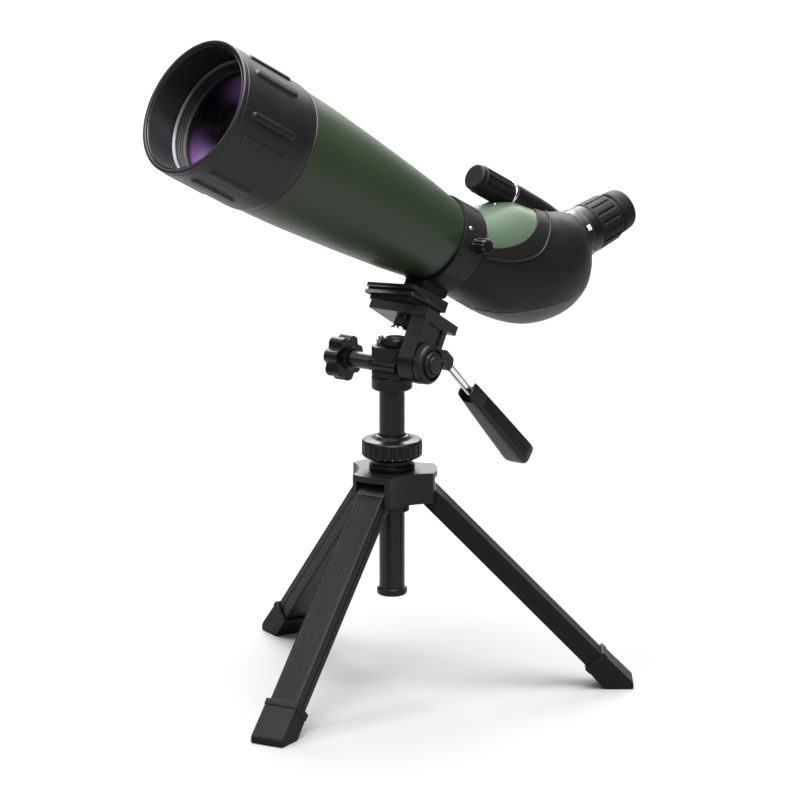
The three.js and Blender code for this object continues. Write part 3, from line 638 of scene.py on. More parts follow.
piece("column_pipe", lathe(rounded([(7.4, 70.4), (9, 70.4, 0.4), (9, 216.4, 0.4), (7.4, 216.4)], True), 96, True),
      COLUMN, "column", PIPE, nodes=["column_tube"])
piece("column_foot_cap", lathe(rounded([(0, 66.9), (9.6, 66.9, 1.0), (10.7, 68.4, 0.8), (10.7, 71.6, 0.8),
      (10.0, 72.4, 0.3), (9.1, 72.4)]), 96), COLUMN, "column", PLASTIC,
      nodes=["column_end_cap"])
piece("column_socket", lathe(rounded([(9.3, 215.9), (13.2, 215.9, 0.5), (14.4, 217, 0.7), (14.4, 225, 1.0),
      (13.2, 225.1, 0.3), (5, 225.1, 0.3), (5, 240.5, 0.5), (0, 240.5)]), 96), COLUMN, "column", PLASTIC,
      nodes=["column_head_socket"])

collar_profile = dense(rounded([(10.0, 167.4), (19.6, 167.4, 0.8), (21.3, 168.8, 1.0), (21.3, 178.6, 1.0),
                                (19.9, 179.9, 0.8), (14.5, 180.4, 1.2), (11.4, 182.9, 1.0), (10.0, 183.0)],
                               True), 0.9, True)
piece("column_clamp_ring", lathe(collar_profile, 288, True, shape=lambda r, z, a: flutes(
      24, 1.25, 2.3, 169.4, 177.6, 0.9)(r, z, a) if r > 18 else r), COLUMN, "clamp_collar", PLASTIC,
      nodes=["column_clamp_collar"], sharp=60)

# ---------------------------------------------------------------- pan head

head_plan = rounded([(-12, -8, 0.8), (-7, -12, 0.8), (9, -12, 0.8), (13.5, -8, 0.8), (13.5, 8, 0.8), (9, 12, 0.8),
                     (-7, 12, 0.8), (-12, 8, 0.8)], True, 3)
waist_plan = [(x * 0.9, y * 0.93) for x, y in head_plan]
barrel_boss = turned(lathe(rounded([(0, -16), (6.4, -16, 0.5), (6.4, 11.5, 0.5), (0, 11.5)]), 48), ALONG_X)
carved("pan_head_block", prism(waist_plan, -12.5, 9), PAN, "pan_head", PLASTIC,
       adds=[prism(head_plan, 2.6, 9), prism(head_plan, -12.5, -8.6),
             shifted(barrel_boss, 0, 0, SPINDLE_AXIS + 0.4),
             shifted(turned(lathe(rounded([(0, -9), (4.6, -9, 0.5), (4.6, 11, 0.5), (0, 11)]), 40), ALONG_X),
                     0, -8.2, SPINDLE_AXIS + 1)],
       cuts=[turned(lathe([(0, 5), (4.3, 5), (4.3, 30), (0, 30)], 32), ALONG_X),
             lathe([(0, -20), (5.4, -20), (5.4, 3.6), (0, 3.6)], 48)],
       edge=0.7, limit=40, nodes=["head_block"])
cap = rounded([(0, 9.3), (8.0, 9.3, 0.3), (8.5, 10.4, 0.4), (8.5, 13.6, 0.5), (7.3, 15.4, 0.7), (5.6, 15.6, 0.3),
               (5.3, 15.0, 0.2), (0, 15.0)])
piece("pan_head_cap", shifted(lathe(cap, 72), 3, 0, 0), PAN, "pan_head", PLASTIC, nodes=["head_cap"])
bolt = joined(lathe(rounded([(0, 9.3), (3.5, 9.3, 0.2), (3.5, 12.8, 0.5), (0, 12.8)]), 6),
              lathe(rounded([(0, 10), (2.0, 10), (2.0, 14.6, 0.9), (0, 15.2)]), 32))
piece("pan_head_bolt", shifted(bolt, -9.6, 0, 0), PAN, "pan_head", STEEL, nodes=["head_bolt"])


def star_outline(reach, sway):
    points = []
    for i in range(7 * 14):
        angle = 2 * math.pi * i / (7 * 14)
        wave = math.cos(7 * angle)
        points.append(((reach + sway * (wave - 0.25 * math.cos(14 * angle))) * math.cos(angle),
                       (reach + sway * (wave - 0.25 * math.cos(14 * angle))) * math.sin(angle)))
    return points


star = prism(star_outline(15.1, 1.5), -48.4, -37.2)
carved("pan_lock_star", turned(star, ALONG_X), basis(place_of("head_pan") + UP * SPINDLE_AXIS * MM, head_x,
       UP.cross(head_x), UP), "pan_lock", PLASTIC,
       adds=[turned(lathe(rounded([(0, -40), (8, -40), (8, -35.2, 0.8), (6.4, -34.5, 0.4), (0, -34.5)]), 64),
                    ALONG_X)],
       cuts=[turned(lathe([(0, -60), (9.6, -60), (9.2, -47.4), (0, -47.4)], 64), ALONG_X)],
       edge=1.0, limit=50, nodes=["pan_lock_knob"])
piece("pan_lock_spindle", shifted(turned(lathe(rounded([(0, -44.6), (3, -44.6), (3, -34.4), (5.8, -34.4, 0.4),
      (5.8, -16.3, 0.4), (3, -16.3), (3, -6), (0, -6)]), 72), ALONG_X), 0, 0, SPINDLE_AXIS), PAN, "pan_lock", GUNMETAL,
      nodes=["pan_lock_shaft"])

# ---------------------------------------------------------------- tilt head

arm = prism(rounded([(-14.8, 0), (-14.8, 31), (14.8, 31), (14.8, 0)] + [
    (14.8 * math.cos(math.radians(-a)), 14.8 * math.sin(math.radians(-a))) for a in range(10, 180, 10)],
    False), 15.3, 28)
stand_up = Matrix(((0, 0, 1, 0), (1, 0, 0, 0), (0, 1, 0, 0), (0, 0, 0, 1)))
inset = prism(rounded([(-9.8, 15.5, 1.0), (9.8, 15.5, 1.0), (9.8, 27.4, 1.0), (-9.8, 27.4, 1.0)], True, 3), 26.7, 33)
carved("tilt_bracket_casting", block((-21.2, -15.8, 29.6), (28, 25.3, 36.4)), TILT, "tilt_head", PLASTIC,
       adds=[turned(arm, stand_up)],
       cuts=[turned(inset, stand_up), turned(lathe([(0, 10), (4.3, 10), (4.3, 40), (0, 40)], 40), ALONG_X),
             lathe([(0, 20), (3.5, 20), (3.5, 40), (0, 40)], 32)],
       edge=0.7, limit=40, nodes=["tilt_bracket"])
disc = turned(lathe(rounded([(0, 30), (4.4, 30), (4.4, 28.3), (14.4, 28.3, 0.5), (14.4, 33.4, 1.4), (12.6, 35.2, 0.8),
      (11.2, 35.2, 0.4), (10.8, 33.6, 0.3), (9.4, 33.6, 0.3), (8.8, 36.6, 0.5), (7.0, 36.9, 0.3), (6.6, 36.2, 0.2),
      (6.2, 38.4, 0.6), (0, 38.6)]), 96), ALONG_X)
lug_turn = Matrix.Rotation(math.radians(-12.4), 4, "X")
lug = turned(prism(rounded([(5, 5.8, 0.5), (17.6, 5.8, 1.4), (18.6, 11, 0.8), (16.0, 15.6, 1.4), (5, 15.6, 0.5)], True, 3),
                   28.9, 37.4), lug_turn @ stand_up)
carved("tilt_clamp_disc", disc, TILT, "tilt_head", MATT, adds=[lug],
       cuts=[turned(shifted(turned(lathe([(0, 9), (3.3, 9), (3.3, 30), (0, 30)], 32), ALONG_Y), 33, 0, 11), lug_turn)],
       edge=0.35, steps=2, limit=45, nodes=["tilt_clamp_cap"])
piece("camera_screw_stem", lathe(rounded([(0, 20.2), (7.8, 20.2, 0.4), (7.8, 21.8, 0.4), (3.2, 21.9), (3.2, 40.6, 0.5),
      (0, 41)]), 64), TILT, "head_screw", CHROME, nodes=["camera_screw"])
grip_profile = dense(rounded([(3.5, 22), (5.6, 22, 0.3), (6.4, 22.8, 0.3), (6.4, 29.0, 0.4), (3.5, 29.1)], True), 0.6, True)
piece("camera_screw_grip", lathe(grip_profile, 216, True, shape=lambda r, z, a: r - (
      0.3 * (0.5 + 0.5 * math.cos(36 * a)) * smooth(22.8, 23.4, z) * (1 - smooth(28.2, 28.8, z)) if r > 5.8 else 0)),
      TILT, "head_screw", PLASTIC, nodes=["camera_screw_knob"], sharp=60)

# ---------------------------------------------------------------- pan handle

stem = turned(lathe(rounded([(0, 10), (3, 10, 0.3), (3, 80, 0.3), (0, 80)]), 64), ALONG_Y)
piece("handle_stem", shifted(stem, 33, 0, 11), HANDLE, "pan_handle", CHROME, nodes=["handle_rod"])


def grip_mesh():
    """A tapered grip that swells to its end; the fine ribs along both broad faces and the forked mouth are cut from it
    below.
    """
    stations = [(50, 6.0, 5.8), (52, 6.4, 6.2), (62, 7.0, 6.5), (80, 8.0, 6.9), (100, 8.9, 7.3), (120, 9.7, 7.7),
                (133, 10.3, 8.0), (136.8, 10.1, 7.8), (138.6, 9.4, 7.2), (139.4, 8.4, 6.3)]
    bm = bmesh.new()
    sides = 96
    rings = []
    for y, half_x, half_z in stations:
        ring = []
        for i in range(sides):
            angle = 2 * math.pi * i / sides
            c, s = math.cos(angle), math.sin(angle)
            reach = (abs(c) ** 5 + abs(s) ** 5) ** (-1 / 5)
            ring.append(bm.verts.new((33 + c * reach * half_x, y, 11 + s * reach * half_z)))
        rings.append(ring)
    for low, high in zip(rings, rings[1:]):
        for i in range(sides):
            j = (i + 1) % sides
            bm.faces.new((low[i], low[j], high[j], high[i]))
    bm.faces.new(rings[0][::-1])
    bm.faces.new(rings[-1])
    return bm


grip_cuts = [block((29.0, 45, 0), (37.0, 58, 22))]
for side in (-1, 1):
    for offset in (-3.9, -2.3, -0.8, 0.8, 2.3, 3.9):
        spread = offset / 128
        rib = block((-1.3, 0, -0.36), (1.3, 66, 0.36))
        turn = Matrix.Translation((33 + side * 7.7, 66, 11 + offset * 0.86)) @ Matrix.Rotation(
            spread * 0.55, 4, "X") @ Matrix.Rotation(-side * 0.041, 4, "Z")
        grip_cuts.append(turned(rib, turn))
carved("handle_grip_moulding", grip_mesh(), HANDLE, "pan_handle", PLASTIC, cuts=grip_cuts, edge=0.18, steps=2,
       limit=50, nodes=["handle_grip"], weighted=False)

# ---------------------------------------------------------------- scope foot and rotating collar

FLOOR = -54.05
SCREW = 236.7
foot_low = prism(rounded([(-21.5, SCREW - 19, 1.2), (21.5, SCREW - 19, 1.2), (21.5, SCREW + 12, 1.2),
                          (-21.5, SCREW + 12, 1.2)], True, 3), FLOOR, FLOOR + 5)
foot_plate = prism(rounded([(-25, SCREW - 22, 1.0), (25, SCREW - 22, 1.0), (25, SCREW + 13, 1.0),
                            (-25, SCREW + 13, 1.0)], True, 3), FLOOR + 3.4, FLOOR + 11)
neck = prism(rounded([(SCREW - 6, FLOOR + 9), (SCREW - 2, FLOOR + 14, 3), (SCREW - 2, -36, 4), (SCREW - 2, -30),
                      (258.6, -30), (258.6, -37, 3), (254, FLOOR + 15, 3), (256, FLOOR + 9)], True, 4), -10, 10)
ring_profile = rounded([(30.0, 238.2), (32.6, 238.2, 0.6), (33.5, 239.4, 0.6), (33.5, 257.4, 0.8),
                        (32.4, 258.6, 0.6), (30.0, 258.6)], True)
groove = block((-30, SCREW - 26, FLOOR + 5.8), (30, SCREW - 19.5, FLOOR + 8.0))
carved("scope_foot_casting", foot_plate, SCOPE, "tilt_head", MATT,
       adds=[foot_low, turned(neck, stand_up),
             turned(lathe([(0, 238.2), (33.5, 238.2), (33.5, 258.6), (0, 258.6)], 128), ALONG_Y)],
       cuts=[groove, turned(lathe([(0, 200), (30.0, 200), (30.0, 280), (0, 280)], 128), ALONG_Y),
             turned(lathe([(0, 205), (35.4, 205), (33.0, 238), (0, 238)], 96), ALONG_Y),
             shifted(turned(lathe([(0, 20), (2.3, 20), (2.3, 40), (0, 40)], 24), ALONG_X), 0, 248.4, 0),
             turned(block((-0.9, -2, -0.8), (0.9, 2, 1)), Matrix.Translation((0, 239.4, 0))
                    @ Matrix.Rotation(math.radians(107), 4, "Y") @ Matrix.Translation((0, 0, 33.5)))],
       edge=0.7, limit=35, nodes=["mount_collar"])


def small_screw(name, where, body, radius=1.7):
    """A small domed screw with a cross slot, at the origin of its own frame."""
    dome = lathe(rounded([(0, -1.5), (radius, -1.5), (radius, 0.3, 0.2), (radius * 0.7, 0.75, 0.3), (0, 0.95)]), 40)
    carved(name, dome, where, body, SILVER, cuts=[block((-radius * 0.7, -0.2, 0.4), (radius * 0.7, 0.2, 2)),
           block((-0.2, -radius * 0.7, 0.4), (0.2, radius * 0.7, 2))], edge=0.08, steps=2, limit=50)


def on_tube(station, degrees, radius):
    """A frame on a tube about the optical axis: +Z outwards, degrees from the top towards +X."""
    turn = Matrix.Rotation(math.radians(degrees), 4, "Y")
    return SCOPE @ Matrix.Translation((0, station, 0)) @ turn @ Matrix.Translation((0, 0, radius))


small_screw("collar_screw_upper", on_tube(242.0, 71.5, 33.4), "tilt_head", 1.5)
lock = dense(rounded([(2.3, 34.6), (4.2, 34.6, 0.3), (4.2, 36.4, 0.3), (5.6, 36.9, 0.4), (5.6, 47.0, 0.7),
                      (4.6, 48, 0.4), (0, 47.8)]), 0.6)
piece("collar_lock_grip", shifted(turned(lathe(lock, 240, shape=lambda r, z, a: flutes(
      10, 0.75, 1.5, 38, 49, 0.8)(r, z, a) if r > 4.4 and z > 36.6 else r), ALONG_X), 0, 248.4, 0),
      SCOPE, "collar_lock", PLASTIC, nodes=["collar_lock_knob"], sharp=60)

# ---------------------------------------------------------------- dew shield and objective


def shield_shape(r, z, angle):
    """Raised capsule ribs in close pairs round the outside."""
    if r < 47 or not 8 < z < 58:
        return r
    best = 0
    for pair in range(6):
        for offset in (-10.2, 10.2):
            middle = math.radians(60 * pair + 10 + offset)
            off = abs((angle - middle + math.pi) % (2 * math.pi) - math.pi) * r
            beyond = max(0, abs(z - 32.4) - 17.4)
            distance = math.hypot(off, beyond)
            best = max(best, 1 - smooth(1.9, 2.7, distance))
    return r + 1.6 * best


shield_profile = dense(rounded([(46.0, 0.5, 0.3), (47.2, 0, 0.4), (48.4, 0, 0.5), (49, 1.0, 0.6), (49, 3.2, 0.2),
                                (48.6, 3.6, 0.2), (48.6, 4.2, 0.2), (48.9, 4.6, 0.2), (48.85, 8), (48.3, 66, 1.4),
                                (47.3, 71.6, 0.5), (45.1, 71.6), (45.1, 30), (45.1, 2.6, 0.2), (45.6, 2.2, 0.2),
                                (46.0, 1.6, 0.2)], True), 0.9, True)
piece("dew_shield_sleeve", turned(lathe(shield_profile, 480, True, shape=shield_shape), ALONG_Y), SCOPE, "shield",
      SHIELD_RUBBER, nodes=["dew_shield"], sharp=60)
lining = dense(rounded([(45.3, 1.5), (45.3, 1.2, 0.1), (45.0, 1.0, 0.2), (44.7, 1.6, 0.3), (44.5, 3.2, 0.4),
                        (44.7, 23.4, 0.3), (45.3, 23.8)], True), 0.9, True)
piece("dew_shield_lining", turned(lathe(lining, 240, True), ALONG_Y), SCOPE, "shield", LINING)

cell = [(45.0, 26.0), (44.4, 25.6, 0.3), (42.6, 25.6, 0.4)]
for step in range(4):
    z = 26.4 + step * 1.35
    cell += [(42.2 - step * 0.42, z, 0.15), (42.2 - step * 0.42, z + 0.55, 0.15), (42.5 - step * 0.42, z + 0.9, 0.15)]
cell += [(40.2, 32.2, 0.4), (39.4, 32.8, 0.4), (39.4, 36.5), (40, 58), (42, 58), (42, 36), (44.4, 36)]
piece("objective_cell_ring", turned(lathe(rounded(cell, True, 3), 160, True), ALONG_Y), SCOPE, "telescope", BLACK,
      nodes=["objective_cell", "objective_retaining_ring"])
inner = rounded([(44.9, 24.6), (44.6, 24.3, 0.3), (42.9, 25.7, 0.3), (42.4, 26.8)], True, 3)
piece("objective_bright_ring", turned(lathe(inner, 160, True), ALONG_Y), SCOPE, "telescope", GREY)
glass = [(0.0, 30.6)] + [(40.4 * k / 24, 30.6 + 5.2 * (k / 24) ** 2) for k in range(1, 25)] + [(40.4, 41), (0, 43.6)]
piece("objective_glass", turned(lathe(glass, 160), ALONG_Y), SCOPE, "telescope", LENS,
      nodes=["objective_front_lens"], sharp=60)

# ---------------------------------------------------------------- barrel

barrel = rounded([(42.8, 37), (44.4, 37, 0.4), (44.4, 71.9), (46.2, 71.9, 0.3), (46.9, 72.6, 0.5), (45.4, 105, 12),
                  (41.2, 154, 16), (35.9, 207, 14), (33.2, 226, 6), (31.2, 237.4, 1.0), (29.5, 237.9, 0.2),
                  (29.5, 269), (27, 269), (27, 236), (33, 205), (42.2, 100)], True, 8)
piece("barrel_skin", turned(lathe(barrel, 192, True), ALONG_Y), SCOPE, "telescope", GREEN, nodes=["barrel"],
      sharp=50)

# ---------------------------------------------------------------- prism housing

# Station, height, lean, half width, reach above and reach below along the bent axis.
HOUSING = [(259.5, 0, 0, 31.6, 32.4, 29.2), (263.5, 0, 1, 32.6, 34.4, 29.4), (285, 1, 7, 35.0, 45.5, 31.5),
           (305, 4, 16, 36.2, 50.5, 35.5), (325, 12, 28, 36.2, 48, 40.0), (342, 25, 38, 34.0, 40, 41.5),
           (352, 38, 43.5, 30.5, 31, 40.5), (358, 46.5, 45, 25.5, 24, 34.5), (361.3, 49.8, 45, 21.3, 20.6, 26.5),
           (362.6, 51.1, 45, 19.5, 19.4, 20.5), (363.1, 51.6, 45, 18.6, 18.6, 18.6)]


def spline(keys, steps):
    out = []
    for i in range(len(keys) - 1):
        a, b = keys[max(i - 1, 0)], keys[i]
        c, d = keys[i + 1], keys[min(i + 2, len(keys) - 1)]
        for k in range(steps):
            t = k / steps
            out.append([0.5 * (2 * q + (r - p) * t + (2 * p - 5 * q + 4 * r - s) * t * t
                               + (3 * q - p - 3 * r + s) * t ** 3) for p, q, r, s in zip(a, b, c, d)])
    out.append(list(keys[-1]))
    return out


def housing_mesh(inset, around=144):
    bm = bmesh.new()
    rings = []
    for station, height, lean, half, above, below in spline(HOUSING, 9):
        c, s = math.cos(math.radians(lean)), math.sin(math.radians(lean))
        ring = []
        for i in range(around):
            angle = 2 * math.pi * i / around
            side = (half - inset) * math.cos(angle)
            rise = ((above if math.sin(angle) > 0 else below) - inset) * math.sin(angle)
            ring.append(bm.verts.new((side, station - s * rise, height + c * rise)))
        rings.append(ring)
    for low, high in zip(rings, rings[1:]):
        for i in range(around):
            j = (i + 1) % around
            bm.faces.new((low[i], low[j], high[j], high[i]))
    bm.faces.new(rings[0][::-1])
    bm.faces.new(rings[-1])
    bmesh.ops.recalc_face_normals(bm, faces=bm.faces)
    return bm


# Side views, station and height: the painted saddle lies above one line, the lower shell below the other.
SADDLE = [(250, 2.5), (259, 3.2), (266, 5.2), (276, 9.6), (286, 15.8), (293.5, 22.5), (299.5, 30.5), (303.5, 37.5),
          (306.8, 44.5), (309.5, 52), (311, 62)]
SEAM = [(250, -27.2), (262, -27.6), (282, -29.6), (300, -29.8), (314, -25.2), (329, -16), (343, -7.4), (359, 4.0),
        (372, 15.5), (384, 27), (395, 40)]


def side_prism(line, far, shift=0.0):
    """A cutter across the housing from a side-view line to a far height."""
    points = [(line[0][0], far)] + [(s, h + shift) for s, h in spline(line, 5)] + [(line[-1][0], far)]
    return turned(prism(points, -70, 70), stand_up)



def trimmed(name, look, nodes, cuts, inset=0.0, keep=None):
    """The housing's skin, cut to its own part of the surface, with a rounded lip along the cut."""
    made = as_object(housing_mesh(inset), name)
    tools = []
    for operation, parts in (("DIFFERENCE", cuts), ("INTERSECT", keep or [])):
        for part in parts:
            tool = as_object(part, "tool")
            tools.append(tool)
            modifier = made.modifiers.new("cut", "BOOLEAN")
            modifier.operation = operation
            modifier.solver = "EXACT"
            modifier.object = tool
    modifier = made.modifiers.new("lip", "BEVEL")
    modifier.width = 0.45
    modifier.segments = 2
    modifier.limit_method = "ANGLE"
    modifier.angle_limit = math.radians(45)
    modifier.use_clamp_overlap = True
    bpy.context.view_layer.update()
    final = bpy.data.meshes.new_from_object(made.evaluated_get(bpy.context.evaluated_depsgraph_get()))
    made.modifiers.clear()
    made.data = final
    for tool in tools:
        bpy.data.objects.remove(tool)
    made.data.shade_smooth()
    made.data.set_sharp_from_angle(angle=math.radians(60))
    return place(made, SCOPE, "telescope", look, nodes)


def light_way():
    return turned(lathe([(0, 240), (27.2, 240), (27.2, 288), (0, 288)], 96), ALONG_Y)


trimmed("housing_casting", SADDLE_GREEN, ["prism_housing"], [light_way()], 1.3,
        [side_prism(SADDLE, 120, -3)])
trimmed("housing_armour", ARMOUR, ["rubber_armour"], [side_prism(SADDLE, 120), side_prism(SEAM, -120, 0.25), light_way()])
trimmed("housing_underside", SHELL, ["bottom_shell"], [], 0.25, [side_prism(SEAM, -120, -0.25)])

skin = housing_mesh(0.0)
skin_tree = bvhtree.BVHTree.FromBMesh(skin)


def along_side(line, side, lift):
    """Points on the housing's skin under a side-view line, on one flank."""
    points = []
    for station, height in spline(line, 6):
        hit = skin_tree.ray_cast(Vector((side * 90, station, height)), Vector((-side, 0, 0)))
        if hit[0] is not None:
            points.append(hit[0] + hit[1] * lift)
    return points


WELT = [(262, -3.8), (273, -1.2), (285, 2.6), (299.5, 10.6), (307.3, 17.6), (311.4, 24.5), (314.5, 33.5), (317, 42),
        (319.5, 50), (321.5, 57)]
for name, side in (("right", 1), ("left", -1)):
    bead(f"armour_welt_{name}", along_side(WELT, side, 0.1), 0.95, SCOPE, "telescope", ARMOUR)
hit = skin_tree.ray_cast(Vector((6.8, 277.6, 90)), Vector((0, 0, -1)))
if hit[0] is not None:
    dome_frame = SCOPE @ Matrix.Translation(hit[0] - hit[1] * 1.2) @ hit[1].to_track_quat("Z", "Y").to_matrix().to_4x4()
    small_screw("housing_screw", dome_frame, "telescope", 1.3)
skin.free()

# ---------------------------------------------------------------- focuser

bed_keys = [(293.4, 54.8, 0, 10.8, 10.9, 12), (303, 54.6, 0, 11, 11.1, 12), (318, 54.2, 0, 11.3, 11.2, 12),
            (332, 53.4, 2, 11.6, 11.2, 12), (343, 51.8, 6, 11.4, 10.6, 12), (350, 49.5, 12, 9.5, 8.8, 12),
            (354, 47.5, 16, 6, 5.5, 10), (356, 46.5, 18, 2, 2, 4)]


def bent_rod(keys, around=72, steps=6):
    bm = bmesh.new()
    rings = []
    for station, height, lean, half, above, below in spline(keys, steps):
        c, s = math.cos(math.radians(-lean)), math.sin(math.radians(-lean))
        ring = []
        for i in range(around):
            angle = 2 * math.pi * i / around
            rise = (above if math.sin(angle) > 0 else below) * math.sin(angle)
            ring.append(bm.verts.new((half * math.cos(angle), station - s * rise, height + c * rise)))
        rings.append(ring)
    for low, high in zip(rings, rings[1:]):
        for i in range(around):
            j = (i + 1) % around
            bm.faces.new((low[i], low[j], high[j], high[i]))
    bm.faces.new(rings[0][::-1])
    bm.faces.new(rings[-1])
    return bm


carved("focus_bed", bent_rod(bed_keys), SCOPE, "telescope", PLASTIC, edge=0.5, limit=50, nodes=["focus_base"])
knob = dense(rounded([(0, 257.0), (8.6, 257.0, 0.5), (9.6, 258.0, 0.5), (9.6, 261.0, 0.5), (10.4, 262.1, 0.6),
                      (10.4, 289.6, 0.8), (9.4, 290.6, 0.4), (3.6, 290.6)]), 0.9)
piece("focus_grip", shifted(turned(lathe(knob, 288, shape=lambda r, z, a: flutes(
      12, 1.0, 2.0, 263.4, 287.6, 0.9)(r, z, a) if r > 9.7 else r), ALONG_Y), 0, 0, FOCUS_AXIS), SCOPE, "focuser",
      RUBBER, nodes=["focus_knob"], sharp=60)
ring_face = rounded([(3.6, 291), (10.4, 291, 0.4), (10.6, 292, 0.5), (10.4, 293.1, 0.4), (3.6, 293.1)], True)
piece("focus_bright_ring", shifted(turned(lathe(ring_face, 96, True), ALONG_Y), 0, 0, FOCUS_AXIS), SCOPE, "telescope",
      CHROME, nodes=["focus_ring"])

# ---------------------------------------------------------------- eyepiece

tube = rounded([(11, 64), (14.2, 64), (14.2, 73.3), (18.9, 73.3, 0.4), (18.9, 75.2, 0.2), (18.5, 75.6, 0.2), (18.5, 78.8, 0.2),
                (18.9, 79.2, 0.2), (18.9, 80.0, 0.3), (14, 80.1), (14, 112.8), (11, 112.8)], True)
piece("eyepiece_base", lathe(tube, 144, True), EYE, "telescope", GUNMETAL, nodes=["eyepiece_tube"])
scale = rounded([(14.3, 80.4), (18.1, 80.4, 0.3), (18.1, 88.3, 0.3), (14.3, 88.3)], True)
piece("zoom_scale_ring", lathe(scale, 144, True), EYE, "telescope", PLASTIC, nodes=["zoom_index_ring"])
zoom = dense(rounded([(14.3, 88.8), (17.6, 88.8, 0.3), (18.3, 89.6, 0.5), (17.5, 109.8, 0.5), (16.5, 111.2, 0.6),
                      (14.3, 111.2)], True), 0.9, True)
piece("zoom_grip_ring", lathe(zoom, 288, True, shape=lambda r, z, a: flutes(
      16, 1.0, 2.1, 91.6, 108.4, 1.0)(r, z, a) if r > 16.9 else r), EYE, "zoom_grip", RUBBER, nodes=["zoom_ring"],
      sharp=60)
cup = rounded([(11, 113.1), (13.9, 113.1, 0.3), (14.2, 114.4, 0.4), (15.7, 115.4, 0.9), (15.9, 117.2, 0.6), (15.2, 125.2, 1.2),
               (14.2, 127.0, 0.6), (13.0, 127.0, 0.5), (12.6, 125.4, 0.5), (12.6, 116.6, 0.6), (11, 115.4, 0.4)], True)
piece("eyecup_rubber", lathe(cup, 144, True), EYE, "telescope", RUBBER, nodes=["eyecup"], sharp=60)
eye_glass = [(0.0, 103.4), (10.6, 104.4), (10.6, 108.2)] + [(10.6 * (1 - k / 12), 108.2 + 2.0 * (1 - (1 - k / 12) ** 2))
                                                           for k in range(1, 13)]
piece("eye_glass", lathe(eye_glass, 96), EYE, "telescope", EYE_LENS, nodes=["eye_lens"], sharp=50)


def digits(text, height, gap):
    """Generic scale figures from straight strokes, as (x, y) segment lists."""
    strokes = {"0": [(0, 0, 1, 0), (1, 0, 1, 2), (1, 2, 0, 2), (0, 2, 0, 0)], "2": [(0, 2, 1, 2), (1, 2, 1, 1),
               (1, 1, 0, 1), (0, 1, 0, 0), (0, 0, 1, 0)], "3": [(0, 2, 1, 2), (1, 2, 1, 0), (1, 0, 0, 0), (0.3, 1, 1, 1)],
               "4": [(0, 2, 0, 1), (0, 1, 1, 1), (1, 2, 1, 0)], "6": [(1, 2, 0, 2), (0, 2, 0, 0), (0, 0, 1, 0),
               (1, 0, 1, 1), (1, 1, 0, 1)]}
    out = []
    for place_index, letter in enumerate(text):
        for x0, y0, x1, y1 in strokes[letter]:
            out.append([(v * height / 2 + (place_index * gap if k % 2 == 0 else 0))
                        for k, v in enumerate((x0 * 0.9, y0, x1 * 0.9, y1))])
    return out


def figures(name, text, degrees, station, radius, height=3.4):
    """Raised white figures that wrap a ring on the eyepiece axis."""
    bm = bmesh.new()
    width = height * 1.35
    for x0, y0, x1, y1 in digits(text, height, height * 0.75):
        direction = Vector((x1 - x0, y1 - y0)).normalized() * 0.26
        normal = Vector((-direction.y, direction.x))
        for low, high in ((0.0, 0.06),):
            corners = []
            for lift in (low, high):
                for px, py in ((x0 - direction.x - normal.x, y0 - direction.y - normal.y),
                               (x1 + direction.x - normal.x, y1 + direction.y - normal.y),
                               (x1 + direction.x + normal.x, y1 + direction.y + normal.y),
                               (x0 - direction.x + normal.x, y0 - direction.y + normal.y)):
                    angle = math.radians(degrees) + (px - width / 2) / radius
                    reach = radius + lift
                    corners.append(bm.verts.new((reach * math.cos(angle), reach * math.sin(angle),
                                                 station + py - height / 2)))
            for face in ((3, 2, 1, 0), (4, 5, 6, 7), (0, 1, 5, 4), (1, 2, 6, 5), (2, 3, 7, 6), (3, 0, 4, 7)):
                bm.faces.new([corners[k] for k in face])
    piece(name, bm, EYE, "telescope", INK, sharp=30)


for text, degrees in (("60", -20), ("40", -80), ("20", -140), ("30", 100)):
    figures(f"zoom_figures_{text}", text, degrees, 77.2, 18.5, 2.9)
small_screw("eyepiece_screw", EYE @ Matrix.Rotation(math.radians(42), 4, "Z") @ Matrix.Translation((18.5, 0, 77.2))
            @ Matrix.Rotation(math.pi / 2, 4, "Y"), "telescope", 1.3)

# ---------------------------------------------------------------- carried-over inner parts

inner_looks = {
    STEEL: ["tilt_shaft", "prism_shelf", "focus_spindle"],
    BRASS: ["focus_carriage", "zoom_carriage"],
    PRISM: ["objective_rear_lens", "focus_lens", "half_pentagon_prism", "roof_prism", "zoom_lens"],
    BLACK: ["barrel_baffle"],
    CHROME: ["collar_lock_stud"],
    MATT: ["column_bushing"],
}
for look, names in inner_looks.items():
    for name in names:
        made = frame["nodes"][name]
        for place_slot in made.material_slots:
            place_slot.material = look

# ---------------------------------------------------------------- room, light and camera


def stage_mesh():
    """A pale floor that turns up into a wall far behind."""
    bm = bmesh.new()
    profile = [(-6, 0), (3.2, 0)] + [(3.2 + 1.6 * math.sin(a), 1.6 - 1.6 * math.cos(a))
                                    for a in (math.pi / 2 * k / 12 for k in range(1, 13))] + [(4.8, 9)]
    rows = [[bm.verts.new((x, y, z)) for x in (-9, 9)] for y, z in profile]
    for low, high in zip(rows, rows[1:]):
        bm.faces.new((low[0], low[1], high[1], high[0]))
    return bm


azimuth, elevation = math.radians(51.57), math.radians(13.32)
backward = Vector((math.sin(azimuth) * math.cos(elevation), -math.cos(azimuth) * math.cos(elevation),
                   math.sin(elevation)))
sideways = Vector((math.cos(azimuth), math.sin(azimuth), 0))

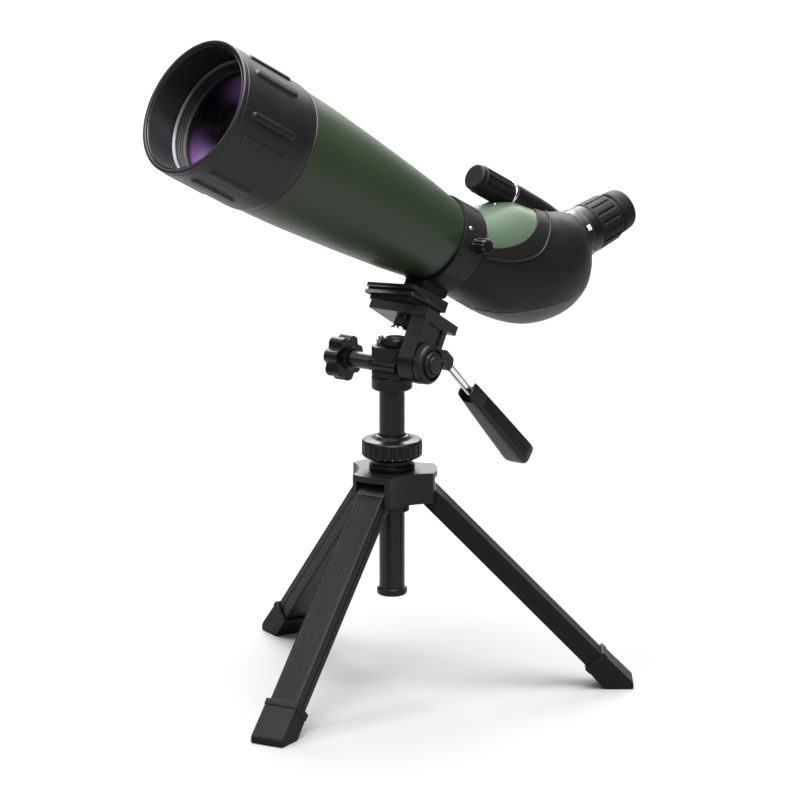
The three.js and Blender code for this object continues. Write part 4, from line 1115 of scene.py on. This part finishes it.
floor = as_object(stage_mesh(), "studio_floor")
floor.data.shade_smooth()
floor_look = bpy.data.materials.new("pale_floor")
floor_look.use_nodes = True
floor_shader = floor_look.node_tree.nodes["Principled BSDF"]
floor_shader.inputs["Base Color"].default_value = (0.25, 0.25, 0.25, 1)
floor_shader.inputs["Roughness"].default_value = 0.9
floor_shader.inputs["Specular IOR Level"].default_value = 0.1
floor.data.materials.append(floor_look)
floor.data.transform(Matrix.Rotation(azimuth, 4, "Z"))


def softbox(name, aim, direction, distance, size, power, tint=(1, 1, 1)):
    data = bpy.data.lights.new(name, "AREA")
    data.shape = "RECTANGLE"
    data.size, data.size_y = size
    data.energy = power
    data.color = tint
    lamp = bpy.data.objects.new(name, data)
    bpy.context.scene.collection.objects.link(lamp)
    towards = Vector(direction).normalized()
    lamp.location = Vector(aim) + towards * distance
    lamp.rotation_mode = "QUATERNION"
    lamp.rotation_quaternion = towards.to_track_quat("Z", "Y")
    return lamp


middle = (0, 0, 0.28)
softbox("overhead", Vector(middle) + sideways.cross(UP) * 0.2, (0, 0, 1), 1.5, (1.6, 1.6), 134)
softbox("far_floor", Vector(middle) + sideways.cross(UP) * -3.2, (0, 0, 1), 1.7, (3.4, 3.4), 350)
softbox("far_floor_front", Vector(middle) + sideways.cross(UP) * 4.6, (0, 0, 1), 1.9, (5.0, 3.4), 160)
softbox("key", middle, backward * 0.35 - sideways * 1.0 + UP * 0.9, 1.7, (0.5, 1.1), 8)
softbox("fill", middle, backward * 0.9 + sideways * 0.7 + UP * 0.25, 2.2, (1.0, 1.0), 1)

world = bpy.data.worlds.new("studio_air")
world.use_nodes = True
world.node_tree.nodes["Background"].inputs["Color"].default_value = (1, 1, 1, 1)
world.node_tree.nodes["Background"].inputs["Strength"].default_value = 0.06
bpy.context.scene.world = world
bpy.context.scene.view_settings.view_transform = "Standard"
bpy.context.scene.view_settings.look = "None"

camera_data = bpy.data.cameras.new("camera")
camera_data.sensor_width = 36
camera_data.lens = 234.5
camera_data.clip_end = 60
camera = bpy.data.objects.new("camera", camera_data)
bpy.context.scene.collection.objects.link(camera)
camera.location = column_foot + Vector((2.7898, -2.20638, 1.04977))
camera.rotation_mode = "QUATERNION"
camera.rotation_quaternion = backward.to_track_quat("Z", "Y")
bpy.context.scene.camera = camera
